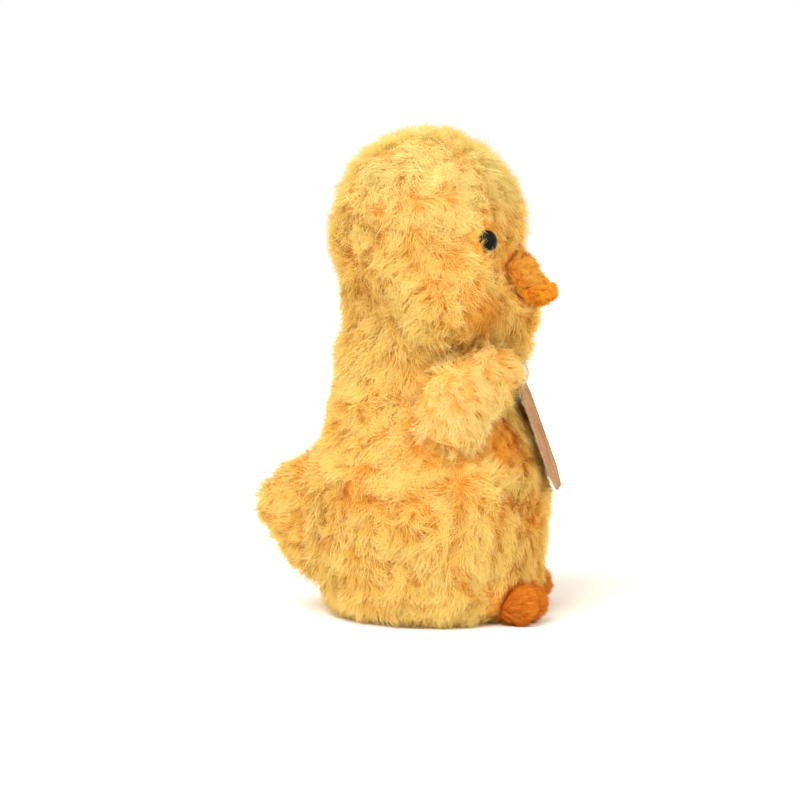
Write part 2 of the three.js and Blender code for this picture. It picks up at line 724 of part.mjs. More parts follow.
function makeWing({ side, name }) {
  const group = new THREE.Group();
  const { form, seat } = wingForm(side);
  const root = [seat.x, seat.y - WING_LOBE / 2, seat.z];
  const slot = box(WING_SLOT_DEPTH, WING_LOBE / 2, WING_SLOT, root);
  const { cover, stuffing } = limb(form, WING_CLOTH, slot);
  piece(`wing_cover_${name}`, cover, cream, group);
  piece(`wing_stuffing_${name}`, stuffing, fibre, group);
  return group;
}

function makeFoot({ side, name }) {
  const group = new THREE.Group();
  const form = footForm(side);
  const heel = [(side * FOOT_SPACING) / 2, -FOOT_FORWARD, FOOT_HEIGHT / 3];
  const slot = box(FOOT_SLOT, INSTEP_LENGTH, SHORT_CLOTH, heel);
  const { cover, stuffing } = limb(form, SHORT_CLOTH, slot);
  piece(`foot_cover_${name}`, cover, orange, group);
  piece(`foot_stuffing_${name}`, stuffing, fibre, group);
  return group;
}

function makeTag() {
  const group = new THREE.Group();
  group.position.copy(tagPlace);
  group.quaternion.copy(tagTurn);
  piece("tag_card", tagGeometry(), kraft, group);
  return group;
}

const chick = new THREE.Group();
chick.add(makeTorso(), makeHead(), makeTag());
for (const each of SIDES) chick.add(makeWing(each), makeFoot(each));

export default chick;
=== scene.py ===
# %% [markdown]
# # A plush chick
# A stuffed toy is cloth pulled tight over loose fibre. It is dressed here in the order in which
# it is sewn: the skins of backing cloth, the pile that grows out of them, then the beak, the
# feet, the eyes and the tag. The model under it says where each piece lies, and nothing here
# moves that. Lengths are in metres, and MM turns millimetres into them.

# %% Load the model
import json
import math

import bmesh
import bpy
import numpy as np
from mathutils import Matrix, Vector, noise
from mathutils.bvhtree import BVHTree


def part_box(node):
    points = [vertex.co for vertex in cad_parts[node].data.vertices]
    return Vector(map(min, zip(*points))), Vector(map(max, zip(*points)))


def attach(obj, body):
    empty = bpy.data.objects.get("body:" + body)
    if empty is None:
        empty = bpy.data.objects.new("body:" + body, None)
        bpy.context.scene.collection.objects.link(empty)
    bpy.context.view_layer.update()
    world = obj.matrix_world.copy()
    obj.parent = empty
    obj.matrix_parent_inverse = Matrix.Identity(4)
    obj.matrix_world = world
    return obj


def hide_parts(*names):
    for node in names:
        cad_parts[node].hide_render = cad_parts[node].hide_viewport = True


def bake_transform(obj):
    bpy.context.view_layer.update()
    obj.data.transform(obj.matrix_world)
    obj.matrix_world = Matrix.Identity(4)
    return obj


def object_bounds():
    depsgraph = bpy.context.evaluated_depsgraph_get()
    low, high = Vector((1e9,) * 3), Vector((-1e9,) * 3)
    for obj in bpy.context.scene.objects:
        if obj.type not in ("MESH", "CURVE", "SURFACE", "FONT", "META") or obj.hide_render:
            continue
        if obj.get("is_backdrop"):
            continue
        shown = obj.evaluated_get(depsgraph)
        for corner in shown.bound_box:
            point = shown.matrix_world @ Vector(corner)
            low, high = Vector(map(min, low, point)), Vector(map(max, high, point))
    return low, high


MM = 0.001
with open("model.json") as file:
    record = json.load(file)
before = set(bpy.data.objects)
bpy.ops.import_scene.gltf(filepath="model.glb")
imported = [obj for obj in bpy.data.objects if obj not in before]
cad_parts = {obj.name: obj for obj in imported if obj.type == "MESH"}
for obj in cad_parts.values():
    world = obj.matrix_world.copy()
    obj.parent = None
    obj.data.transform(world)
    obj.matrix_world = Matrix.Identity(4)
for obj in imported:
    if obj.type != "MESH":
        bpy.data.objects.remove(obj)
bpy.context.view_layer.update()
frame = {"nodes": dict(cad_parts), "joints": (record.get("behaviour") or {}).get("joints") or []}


def middle_of(node):
    low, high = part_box(node)
    return (low + high) / 2


# %% [markdown]
# The head looks a little to the chick's right. Its two eyes tell by how much: the line between
# them points to the head's left, and a quarter turn from that is the way the face looks.

# %% Which way the face looks
UP = Vector((0, 0, 1))
head_left = middle_of("eye_left") - middle_of("eye_right")
head_left = Vector((head_left.x, head_left.y, 0)).normalized()
head_ahead = head_left.cross(UP)
head_turn = math.degrees(math.atan2(-head_left.y, head_left.x))
print("the head is turned by", round(head_turn, 1), "degrees")

# %% [markdown]
# Every material and every tree of nodes is built by the same few helpers, so that each finish
# below reads as a list of what it does. Colours are written as they look on a screen, and
# tint() turns them into the linear light that the shaders reckon in.


# %% Helpers for nodes and colours
def add(tree, kind, inputs=None, **settings):
    """A new node. An input is given a value, or another node's output to follow."""
    made = tree.nodes.new(kind)
    for key, value in settings.items():
        setattr(made, key, value)
    for key, value in (inputs or {}).items():
        if isinstance(value, bpy.types.NodeSocket):
            tree.links.new(value, made.inputs[key])
        else:
            made.inputs[key].default_value = value
    return made


def maths(tree, operation, *values, clamp=False):
    settings = dict(operation=operation, use_clamp=clamp)
    return add(tree, "ShaderNodeMath", dict(enumerate(values)), **settings).outputs[0]


def vectors(tree, operation, *values):
    made = add(tree, "ShaderNodeVectorMath", dict(enumerate(values)), operation=operation)
    return made.outputs[0]


def tint(red, green, blue):
    """A colour from 0 to 255, as linear light."""
    parts = [part / 255 for part in (red, green, blue)]
    return (*[p / 12.92 if p < 0.04045 else ((p + 0.055) / 1.055) ** 2.4 for p in parts], 1)


def new_material(name, **finish):
    """A material with one Principled shader, whose fixed numbers are set on its own sockets."""
    material = bpy.data.materials.new(name)
    material.use_nodes = True
    tree = material.node_tree
    tree.nodes.clear()
    shader = add(tree, "ShaderNodeBsdfPrincipled", finish)
    add(tree, "ShaderNodeOutputMaterial", {"Surface": shader.outputs[0]})
    return material, tree, shader


def ramp(tree, factor, stops):
    """Colours along a factor, given as (place, colour)."""
    made = add(tree, "ShaderNodeValToRGB", {"Fac": factor})
    elements = made.color_ramp.elements
    while len(elements) < len(stops):
        elements.new(0.5)
    for element, (place, colour) in zip(elements, stops):
        element.position = place
        element.color = colour
    return made.outputs[0]


def mixed(tree, factor, one, other, blend="MIX"):
    settings = dict(data_type="RGBA", blend_type=blend, clamp_factor=True)
    return add(tree, "ShaderNodeMix", {0: factor, 6: one, 7: other}, **settings).outputs[2]


def alike(tree, value):
    """The same value along all three axes."""
    return add(tree, "ShaderNodeCombineXYZ", dict.fromkeys(range(3), value)).outputs[0]


def specks(tree, scale, detail, stretch=None):
    """Noise on the piece's own coordinates, so that it stays put when the piece turns."""
    place = add(tree, "ShaderNodeTexCoord").outputs["Object"]
    if stretch:
        place = vectors(tree, "MULTIPLY", place, stretch)
    inputs = {"Vector": place, "Scale": scale, "Detail": detail}
    return add(tree, "ShaderNodeTexNoise", inputs).outputs["Fac"]


def paint(tree, shader, factor, stops):
    """Colour a finish along a factor."""
    tree.links.new(ramp(tree, factor, stops), shader.inputs["Base Color"])


def emboss(tree, shader, height, distance, strength):
    """Fine relief that is too small to model."""
    inputs = {"Height": height, "Distance": distance, "Strength": strength}
    ridges = add(tree, "ShaderNodeBump", inputs)
    tree.links.new(ridges.outputs[0], shader.inputs["Normal"])


# %% [markdown]
# Every piece below starts as an editable bmesh, a mesh that code can cut and push about. When it
# is done it is written to a plain mesh, and an object at the origin puts that into the scene.


# %% Helpers for pieces
def into_scene(name, data):
    """An object with this mesh, lamp or camera."""
    made = bpy.data.objects.new(name, data)
    bpy.context.scene.collection.objects.link(made)
    return made


def smooth_piece(name, made):
    """A finished bmesh as a smooth piece of the scene."""
    mesh = bpy.data.meshes.new(name)
    made.to_mesh(mesh)
    mesh.shade_smooth()
    return into_scene(name, mesh)


def joint_named(name):
    return next(joint for joint in frame["joints"] if joint["name"] == name)


# %% [markdown]
# A skin is the knitted backing that the pile is tied into. It could be modelled by hand, but it
# has to fit the model underneath, so a fine ball is shrunk onto the model from outside, and then
# eased so that the model's facets don't show. The pile is as high as the skin lies deep.

# %% Shrink a ball onto the model
FAR = 400 * MM
FLOOR_GAP = 0.4 * MM
EASING = 8
BEAK_EASING = 3
FINE, FINER = 5, 6  # levels of the ball, with 5,120 and 20,480 triangles
BODY_MIDDLE = Vector((0, 0, 62)) * MM
HEAD_MIDDLE = Vector((0, 1, 151)) * MM


def surface_of(nodes):
    places, faces = [], []
    for node in nodes:
        mesh = frame["nodes"][node].data
        first = len(places)
        places += [vert.co.copy() for vert in mesh.vertices]
        faces += [[first + i for i in face.vertices] for face in mesh.polygons]
    return BVHTree.FromPolygons(places, faces)


def outline_of(nodes, middle, detail, easing=EASING):
    """An even, closed mesh that lies on the outside of these nodes."""
    target = surface_of(nodes)
    made = bmesh.new()
    bmesh.ops.create_icosphere(made, subdivisions=detail, radius=1)
    for vert in made.verts:
        way = vert.co.normalized()
        vert.co = target.ray_cast(middle + way * FAR, -way)[0] or middle
    axes = dict(use_axis_x=True, use_axis_y=True, use_axis_z=True)
    for _ in range(easing):
        bmesh.ops.smooth_vert(made, verts=made.verts, factor=0.5, **axes)
    made.normal_update()
    return made


outlines = {
    "body": outline_of(["body_cover", "base_panel"], BODY_MIDDLE, FINER),
    "head": outline_of(["head_cover", "head_stuffing"], HEAD_MIDDLE, FINER),
    "tail": outline_of(["tail_cover", "tail_stuffing"], middle_of("tail_stuffing"), FINE),
    "beak": outline_of(["beak_upper", "beak_lower", "beak_stuffing"], middle_of("beak_stuffing"),
                       FINE, BEAK_EASING),
}
for side in ("right", "left"):
    for limb, detail in (("wing", FINER), ("foot", FINE)):
        nodes = [f"{limb}_cover_{side}", f"{limb}_stuffing_{side}"]
        outlines[f"{limb}_{side}"] = outline_of(nodes, middle_of(nodes[1]), detail)
bodies = {name: "torso" for name in outlines}
bodies.update(wing_right="wing_right", wing_left="wing_left")
hulls = {name: BVHTree.FromBMesh(mesh) for name, mesh in outlines.items()}
for name, mesh in outlines.items():
    print(name, len(mesh.faces), "faces,", round(mesh.calc_volume() * 1e6), "cubic cm")

# %% [markdown]
# Long pile never lies evenly. It parts along creases and bunches up between them, in clumps as
# wide as a thumb. A few of them tell this toy from the next: a curl on the flank, a swirl at the
# temple, a rough patch on the cheek. They could be painted on, but then light would not agree
# with them, so each is a place that the skin and the pile both read. The dye below also gets a
# painted shade in the creases and in the rough patches.


# %% Where the pile parts
def on_side(name, back, up):
    """The point of the right side at this place, in millimetres behind and above the origin."""
    return hulls[name].ray_cast(Vector((-FAR, back * MM, up * MM)), Vector((1, 0, 0)))[0]


# Whorls have a middle and a radius, creases two ends and a width, and rough patches are worn,
# with a painted shade, the cheek's under the cheek and the body's under the wing.
WHORLS = [(on_side("head", 1, 193), 10 * MM), (on_side("body", 3, 50), 8 * MM)]
CREASES = [
    (on_side("head", 4, 181), on_side("head", -19, 189), 3 * MM),
    (on_side("head", -3, 199), on_side("head", -12, 199), 2.5 * MM),
    (on_side("body", 36, 57), on_side("body", 7, 56), 3 * MM),
    (on_side("body", -21, 64), on_side("body", -21, 46), 3 * MM),
    (on_side("body", 12, 44), on_side("body", -2, 41), 3 * MM),
]
WORN_SHADED = [(on_side("head", -27, 134), 12 * MM), (on_side("body", -36, 78), 12 * MM)]
print(len(WHORLS), "whorls,", len(CREASES), "creases and", len(WORN_SHADED), "rough patches")

# %% [markdown]
# The named creases lie on the right side, which the photo shows, and the left side mirrors them.
# Between them noise makes clumps of two sizes. bulge() is the height that they give together, and
# the cloth below is raised a little under each clump.

# %% Clumps and creases
CLUMP = 15 * MM
FINE_CLUMP = 7 * MM
STREAK = Vector((1, 1, 0.6))
ELSEWHERE = Vector((3.7, 1.3, 5.9))


def fading(gap, reach, power=2):
    """1 where there is no gap, and next to nothing at twice the reach."""
    return math.exp(-((gap / reach) ** power))


def right_side(place):
    return Vector((-abs(place.x), place.y, place.z))


def nearest_on(start, end, place):
    along = (place - start).dot(end - start) / (end - start).length_squared
    return start.lerp(end, min(1, max(0, along)))


RING_WIDTH = 2.5 * MM
RING_DEPTH = 0.6


def crease_at(place):
    """How deep a point lies in the named creases, from 0 to 1."""
    here = right_side(place)
    depths = [fading((here - nearest_on(start, end, here)).length, width)
              for start, end, width in CREASES]
    rings = [RING_DEPTH * fading((here - middle).length - radius, RING_WIDTH)
             for middle, radius in WHORLS]
    return max(*depths, *rings)


# How deep a point lies in a worn patch, whose dye also gets a painted shade.
def worn_shaded_at(place):
    here = right_side(place)
    return max(fading((here - middle).length, radius, 4) for middle, radius in WORN_SHADED)


CLUMP_HEIGHT = 2.1
FINE_HEIGHT = 1.7
CREASE_DEPTH = 0.9


def bulge(place):
    """From 0 in the creases of the pile to 1 on top of a clump."""
    broad = abs(noise.noise(place * STREAK / CLUMP))
    fine = abs(noise.noise(place * STREAK / FINE_CLUMP + ELSEWHERE))
    clumps = min(1, CLUMP_HEIGHT * broad + FINE_HEIGHT * fine)
    return clumps * (1 - CREASE_DEPTH * crease_at(place))


print("the flank stands", round(bulge(on_side("body", 10, 60)), 2), "of a clump high")

# %% [markdown]
# Where pile parts, its strands lie away from the crease and up onto the clump beside it, so the
# comb climbs the slope of the clumps. It also turns round each whorl and is pushed away from each
# crease, which opens the partings.

# %% Which way the pile is led
STEP = 1.2 * MM
PARTING = 7 * MM


def uphill(place):
    """Out of the creases and up to the tops of the clumps."""
    here = bulge(place)
    steps = (Vector((STEP, 0, 0)), Vector((0, STEP, 0)), Vector((0, 0, STEP)))
    return Vector([(bulge(place + step) - here) / STEP for step in steps])


OUTWARDS = Vector((-1, 0, 0))
WHORL_REACH = 1.3
WHORL_TURN = 3
WHORL_SPREAD = 0.6
CREASE_PUSH = 2


def led(place):
    """The way the pile is led round the whorls and away from the creases."""
    here = right_side(place)
    way = Vector()
    for middle, radius in WHORLS:
        off = here - middle
        turn = OUTWARDS.cross(off).normalized() * WHORL_TURN
        spread = off.normalized() * WHORL_SPREAD
        way += (turn + spread) * fading(off.length, WHORL_REACH * radius, 4)
    for start, end, width in CREASES:
        off = here - nearest_on(start, end, here)
        way += off.normalized() * CREASE_PUSH * fading(off.length, 2 * width)
    if place.x > 0:
        way.x = -way.x
    return way + uphill(place) * PARTING


print("on the flank it is led", [round(part, 2) for part in led(on_side("body", 10, 60))])

# %% [markdown]
# The backing cloth lies under the surface by the height of its pile. At a seam the pile is pulled
# down with the thread, so there, round the eyes and at the wings' hinge the cloth comes up.

# %% Draw the skin in
_, panel_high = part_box("base_panel")
PANEL_TOP = panel_high.z + 0.2 * MM
PANEL_RADIUS = panel_high.x + 0.2 * MM


def lowest(place):
    """The cloth stays off the floor, and rises over the base panel."""
    return PANEL_TOP if math.hypot(place.x, place.y) < PANEL_RADIUS else FLOOR_GAP


SEAM_REACH = 9 * MM
EYE_RADIUS = 5 * MM
wing_hinge = Vector(joint_named("wing_right_flap")["pos_m"])
WING_SEAM = [wing_hinge + Vector((-3, -6, height)) * MM for height in (-12, 12)]
eye_places = [middle_of(f"eye_{side}") for side in ("right", "left")]


def gap_to(hull, place):
    """How far a point is outside a closed mesh, or 0 inside it."""
    found, normal, _, far = hull.find_nearest(place)
    return 0 if (place - found).dot(normal) < 0 else far


def wing_seam_gap(place):
    here = right_side(place)
    return (here - nearest_on(*WING_SEAM, here)).length


def sewn_to(name):
    """The outlines of the pieces that share this one's body."""
    return [hull for other, hull in hulls.items()
            if other != name and bodies[other] == bodies[name]]


def near_seam(name, place):
    """From 1 where this skin is sewn to another, or holds an eye, to 0 well away from it."""
    gaps = [gap_to(hull, place) / SEAM_REACH for hull in sewn_to(name)]
    gaps += [max(0, (place - eye).length - EYE_RADIUS) / SEAM_REACH for eye in eye_places]
    if name == "body" or name.startswith("wing"):
        gaps.append(wing_seam_gap(place) / SEAM_REACH)
    return max(0, 1 - min(gaps))


def skin_of(name, depth, swell):
    """The backing cloth, drawn in from the outline by the height of its pile."""
    made = outlines[name].copy()
    outer = [(vert.co.copy(), vert.normal.copy()) for vert in outlines[name].verts]
    for vert, (place, normal) in zip(made.verts, outer):
        drawn_in = max(0, (depth - swell * bulge(place)) * (1 - near_seam(name, place)))
        vert.co = place - normal * drawn_in
        vert.co.z = max(vert.co.z, lowest(vert.co))
    return smooth_piece(f"{name}_skin", made)


def inside(hull, place, margin):
    found, normal, _, _ = hull.find_nearest(place)
    return (place - found).dot(normal) < -margin


print("the wing's seam is", round((WING_SEAM[1] - WING_SEAM[0]).length * 1000), "mm long")


# %% [markdown]
# Plush is dyed evenly, but it doesn't look so: hollows and seams look orange, because light
# passes through more pile there, and the crown is pale, where the tips catch most of it. The tone
# paints that into the dye below: under 1 it is painted shade, warmer, in valleys, creases, worn
# patches, at seams and round the wing, and over 1 it is painted light, paler, on the crown.

# %% Swirls and tone
WHORL = 24 * MM
FINE_WHORL = 9 * MM
WANDER_SEED = 5
noise.seed_set(WANDER_SEED)  # without a seed, noise_vector differs from run to run


def wander(place, strength):
    broad = noise.noise_vector(place / WHORL)
    fine = noise.noise_vector(place / FINE_WHORL + ELSEWHERE)
    return (broad + 0.6 * fine) * strength


# Painted light: the crown turns paler from this height up, as it catches most of the light.
CROWN_LIGHT_FROM = 165 * MM
CROWN_LIGHT_OVER = 35 * MM
WING_SHADE_REACH = 6 * MM
ROUGH_SHADE, SEAM_SHADE, CREASE_SHADE, WING_SHADE = 0.85, 0.15, 0.45, 0.75
VALLEY_TONE, CLUMP_TONE, DRIFT_TONE, CROWN_LIGHT_TONE = 0.42, 0.58, 0.15, 1.1


def tone_at(name, place, hill, worn_shaded):
    """1 is the plain dye, less is painted shade in hollows and at seams, more is painted light."""
    drift = noise.noise(place / WHORL * 0.7 + ELSEWHERE)
    crown_light = min(1, max(0, (place.z - CROWN_LIGHT_FROM) / CROWN_LIGHT_OVER))
    # Painted shade in worn patches, at seams, in creases and on the body round the wing.
    shaded = ROUGH_SHADE * worn_shaded
    shaded += SEAM_SHADE * near_seam(name, place) ** 2
    shaded += CREASE_SHADE * crease_at(place)
    if name == "body":
        wing_gap = gap_to(hulls["wing_right"], right_side(place))
        shaded += WING_SHADE * fading(wing_gap, WING_SHADE_REACH)
    # Painted shade in the valleys between clumps, with a random drift on top.
    tone = VALLEY_TONE + CLUMP_TONE * hill ** 0.5 + DRIFT_TONE * drift
    return tone - shaded + CROWN_LIGHT_TONE * crown_light


print("the tone is", round(tone_at("body", on_side("body", 10, 60), 1, 0), 2), "on the flank")

# %% [markdown]
# The comb runs down from the crown of the head, back over the cheeks and down the body, and
# swirls wherever the toy was handled. Each point of a skin gets the way its pile lies, how long
# it is, how far it stands up and its tone. Under another piece nothing grows.


# %% Comb a skin
def write(mesh, name, kind, values):
    data = mesh.attributes.new(name, kind, "POINT").data
    data.foreach_set("vector" if kind == "FLOAT_VECTOR" else "value", np.ravel(values))


VALLEY_PILE = 0.88
CLUMP_PILE = 0.27
WORN_OFF = 0.35
LIFT = 0.35
FACING_DOWN = -0.9


def comb(skin, name, main, swirl, long=1.0, parted=1.0, bare=lambda place: False,
         short=lambda place: 1.0, stand=lambda place: 0.0):
    """Write the lay, length, lift, cover and tone of the pile on a skin."""
    rows = {"lay": [], "pile": [], "lift": [], "cover": [], "tone": []}
    for vert in skin.data.vertices:
        place, normal = vert.co, vert.normal
        hill, worn_shaded = bulge(place), worn_shaded_at(place)
        way = main(place) + wander(place, swirl * (1 + 2 * worn_shaded)) + led(place) * parted
        way -= normal * way.dot(normal)
        rows["lay"].append(way.normalized() if way.length > 1e-9 else normal.orthogonal())
        length = long * short(place) * (VALLEY_PILE + CLUMP_PILE * hill)
        rows["pile"].append(length * (1 - WORN_OFF * worn_shaded))
        rows["lift"].append(LIFT * noise.noise(place / FINE_WHORL - ELSEWHERE) + stand(place))
        under = normal.z < FACING_DOWN and place.z < 2 * MM
        covered = any(inside(hull, place, MM) for hull in sewn_to(name))
        rows["cover"].append(0.0 if under or covered or bare(place) else 1.0)
        rows["tone"].append(tone_at(name, place, hill, worn_shaded))
    for key, values in rows.items():
        write(skin.data, key, "FLOAT_VECTOR" if key == "lay" else "FLOAT", np.array(values))
    print(name, "has", len(rows["cover"]), "combed points,", rows["cover"].count(0.0), "bare")


# %% [markdown]
# Pile is thousands of near copies of one thing, a lock of strands, so a few locks are modelled
# and then planted by Geometry Nodes. Hair curves could make it too, but a finished piece has to
# be a plain mesh. A strand is a narrow ribbon: it leaves the cloth steeply, bends over along its
# lay and ends in a point.

# %% Model a strand
STATIONS = (0.0, 0.4, 0.75, 1.0)
RIBBON = [(0, 1, 3, 2), (2, 3, 5, 4), (4, 5, 6)]
TIP = 6


def strand_path(length, rise, fall, curl):
    """Points along one strand that starts at the origin, stands along Z and leans along X."""
    path, place, before = [], Vector(), 0.0
    for at in STATIONS:
        turn = rise + (fall - rise) * ((at + before) / 2) ** 0.8
        side = curl * (at + before)
        out = math.sin(turn)
        way = Vector((out * math.cos(side), out * math.sin(side), math.cos(turn)))
        place = place + way * ((at - before) * length)
        path.append((place.copy(), way))
        before = at
    return path


print("a strand is a ribbon of", len(RIBBON), "faces")

# %% [markdown]
# A lock is a handful of strands whose roots lie apart and whose tips draw together, each with its
# own length, lean and roll. Eleven locks are enough, since each is planted at its own turn and
# size. They are never seen themselves, so they stay out of the scene.

# %% Gather strands into locks
SHORTEST, LONGEST = 0.72, 1.12
LEAN = 7
ROLL = 0.4
TAPER = 0.55


def lock(seed, strands, length, spread, rise, fall, gather, width, frizz):
    """One lock, with how far along its strand each point lies and a shade for each strand."""
    rng = np.random.default_rng(seed)
    places, faces, along, shade, cells = [], [], [], [], []
    sway = rng.normal(0, frizz)
    for number in range(strands):
        turn, out = rng.uniform(0, 2 * math.pi), spread * math.sqrt(rng.uniform())
        root = Vector((math.cos(turn), math.sin(turn), 0)) * out
        own = length * rng.uniform(SHORTEST, LONGEST)
        lean = math.radians(rng.normal(0, LEAN))
        curl = sway + rng.normal(0, frizz * 0.6)
        path = strand_path(own, math.radians(rise) + lean, math.radians(fall) + lean, curl)
        roll, own_shade = rng.normal(0, ROLL), rng.uniform()
        first = len(places)
        for at, (place, way) in zip(STATIONS, path):
            place = place + root * (1 - gather * at)
            across = way.cross(UP).normalized() if way.length else Vector((0, 1, 0))
            across = Matrix.Rotation(roll, 3, way) @ across
            half = across * width / 2 * (1 - TAPER * at)
            points = [place] if at == 1 else [place - half, place + half]
            places += points
            along += [at] * len(points)
            shade += [own_shade] * len(points)
        # Each strand has a strip of the lock's cell of the map, with a margin round it.
        for face in RIBBON:
            faces.append([first + i for i in face])
            for i in face:
                u = 0.5 if i == TIP else 0.08 + 0.84 * (i % 2)
                cells.append(((number + u) / strands, 0.02 + 0.96 * STATIONS[i // 2]))
    mesh = bpy.data.meshes.new(f"lock_{seed}")
    mesh.from_pydata(places, [], faces)
    write(mesh, "along", "FLOAT", np.array(along))
    write(mesh, "strand", "FLOAT", np.array(shade))
    cell = mesh.attributes.new("cell", "FLOAT2", "CORNER")
    cell.data.foreach_set("vector", np.ravel(cells))
    mesh.shade_smooth()
    return bpy.data.objects.new(mesh.name, mesh)


def locks(name, count, seed, **shape):
    group = bpy.data.collections.new(name)
    for i in range(count):
        group.objects.link(lock(seed + i, **shape))
    return group


LONG_PILE = dict(strands=16, length=8.5 * MM, spread=2.5 * MM, rise=26, fall=84, gather=0.3,
                 width=0.17 * MM, frizz=0.4)
SHORT_PILE = dict(strands=12, length=3.4 * MM, spread=0.8 * MM, rise=30, fall=84, gather=0.2,
                  width=0.13 * MM, frizz=0.2)
long_locks = locks("long_locks", 6, 100, **LONG_PILE)
short_locks = locks("short_locks", 5, 200, **SHORT_PILE)

# %% [markdown]
# The tree that plants the locks is built in four steps. First it scatters points over the skin,
# never nearer together than the spacing, and drops those outside one sector. A skin is planted
# one sector at a time, which keeps every finished piece of pile light enough to handle.


# %% Sow the points
def named(tree, name, kind="FLOAT"):
    made = add(tree, "GeometryNodeInputNamedAttribute", {"Name": name}, data_type=kind)
    return made.outputs[0]


def stored(tree, geometry, name, value, kind="FLOAT", domain="POINT"):
    inputs = {"Geometry": geometry, "Name": name, "Value": value}
    made = add(tree, "GeometryNodeStoreNamedAttribute", inputs, data_type=kind, domain=domain)
    return made.outputs[0]


def sow(tree, given, place):
    area = maths(tree, "MULTIPLY", given["Spacing"], given["Spacing"])
    scatter = add(tree, "GeometryNodeDistributePointsOnFaces", {
        "Mesh": given["Skin"], "Distance Min": given["Spacing"], "Seed": given["Seed"],
        "Density Max": maths(tree, "DIVIDE", 3.0, area), "Density Factor": named(tree, "cover"),
    }, distribute_method="POISSON")
    normal = scatter.outputs["Normal"]
    sown = stored(tree, scatter.outputs[0], "outwards", normal, "FLOAT_VECTOR")

    # The sector is seen from above, and starts and ends at these bearings.
    split = add(tree, "ShaderNodeSeparateXYZ", {"Vector": place}).outputs
    behind = maths(tree, "MULTIPLY", split[1], -1.0)
    bearing = maths(tree, "ARCTAN2", split[0], behind)
    before = maths(tree, "LESS_THAN", bearing, given["From"])
    beyond = maths(tree, "GREATER_THAN", bearing, given["To"])
    outside = maths(tree, "MAXIMUM", before, beyond)
    kept = add(tree, "GeometryNodeDeleteGeometry", {"Geometry": sown, "Selection": outside})
    return kept.outputs[0], normal


# %% [markdown]
# Then each lock is turned so that it stands on the cloth and leans with the lay. Neighbours are
# pulled towards the middle of their bunch, as a Voronoi pattern gives it, and every lock strays a
# little. Each random number has a seed of its own, so that the pile is the same every time.

# %% Turn and size the locks
TIP_VEER = 0.14
SMALLEST, LARGEST = 0.85, 1.1
VEER, TIP_UP, LOCK_SIZE, WHICH_LOCK, LOCK_SHADE = 11, 12, 13, 14, 15  # seeds


def randomly(tree, low, high, seed):
    made = add(tree, "FunctionNodeRandomValue", {2: low, 3: high, 8: seed}, data_type="FLOAT")
    return made.outputs[1]


def stance(tree, given, place, normal):
    in_bunches = vectors(tree, "DIVIDE", place, alike(tree, given["Bunch"]))
    bunch = add(tree, "ShaderNodeTexVoronoi", {"Vector": in_bunches, "Scale": 1.0})
    inwards = vectors(tree, "SUBTRACT", bunch.outputs["Position"], in_bunches)
    pulled = vectors(tree, "MULTIPLY", inwards, alike(tree, given["Pull"]))
    lay = vectors(tree, "ADD", named(tree, "lay", "FLOAT_VECTOR"), pulled)
    stand = add(tree, "FunctionNodeAxesToRotation", {0: normal, 1: lay},
                primary_axis="Z", secondary_axis="X").outputs[0]
    least = maths(tree, "MULTIPLY", given["Stray"], -1.0)
    veer = randomly(tree, least, given["Stray"], VEER)
    tip_up = maths(tree, "MULTIPLY", named(tree, "lift"), -1.0)
    tip = maths(tree, "ADD", tip_up, randomly(tree, -TIP_VEER, TIP_VEER, TIP_UP))
    turn = add(tree, "ShaderNodeCombineXYZ", {1: tip, 2: veer}).outputs[0]
    turn = add(tree, "FunctionNodeEulerToRotation", {0: turn}).outputs[0]
    facing = add(tree, "FunctionNodeRotateRotation", {0: stand, 1: turn}, rotation_space="LOCAL")
    uneven = maths(tree, "MULTIPLY", bunch.outputs["Color"], 0.24)
    bunch_size = maths(tree, "ADD", 0.88, uneven)
    lock_size = randomly(tree, SMALLEST, LARGEST, LOCK_SIZE)
    scale = maths(tree, "MULTIPLY", named(tree, "pile"), lock_size)
    return facing.outputs[0], maths(tree, "MULTIPLY", scale, bunch_size)


# %% [markdown]
# Any lock of the collection may stand at any point. They are planted as instances, which weigh
# nothing, and made real at the end, because the export keeps no instances. Each lock also gets
# its own cell in the map that its colours are kept in, and a number from 0 to 1 for its shade.


# %% Plant the locks
def plant(tree, given, points, facing, scale):
    shapes = add(tree, "GeometryNodeCollectionInfo", {
        "Collection": given["Locks"], "Separate Children": True, "Reset Children": True})
    pick = add(tree, "FunctionNodeRandomValue", {4: 0, 5: 1000, 8: WHICH_LOCK}, data_type="INT")
    planted = add(tree, "GeometryNodeInstanceOnPoints", {
        "Points": points, "Instance": shapes.outputs[0], "Pick Instance": True,
        "Instance Index": pick.outputs[2], "Rotation": facing, "Scale": scale,
    }).outputs[0]
    lock_shade = randomly(tree, 0.0, 1.0, LOCK_SHADE)
    planted = stored(tree, planted, "lock", lock_shade, domain="INSTANCE")
    number = add(tree, "GeometryNodeInputIndex").outputs[0]
    planted = stored(tree, planted, "number", number, domain="INSTANCE")
    size = add(tree, "GeometryNodeAttributeDomainSize", {0: planted}, component="INSTANCES")
    across = maths(tree, "CEIL", maths(tree, "SQRT", size.outputs["Instance Count"]))
    real = add(tree, "GeometryNodeRealizeInstances", {"Geometry": planted}).outputs[0]

    column = maths(tree, "MODULO", named(tree, "number"), across)
    counted = maths(tree, "ADD", named(tree, "number"), 0.5)
    row = maths(tree, "FLOOR", maths(tree, "DIVIDE", counted, across))
    corner = add(tree, "ShaderNodeCombineXYZ", {0: column, 1: row}).outputs[0]
    cell = vectors(tree, "ADD", corner, named(tree, "cell", "FLOAT_VECTOR"))
    whole = add(tree, "ShaderNodeCombineXYZ", {0: across, 1: across, 2: 1.0}).outputs[0]
    in_map = vectors(tree, "DIVIDE", cell, whole)
    return stored(tree, real, "OFBake", in_map, "FLOAT2", "CORNER")


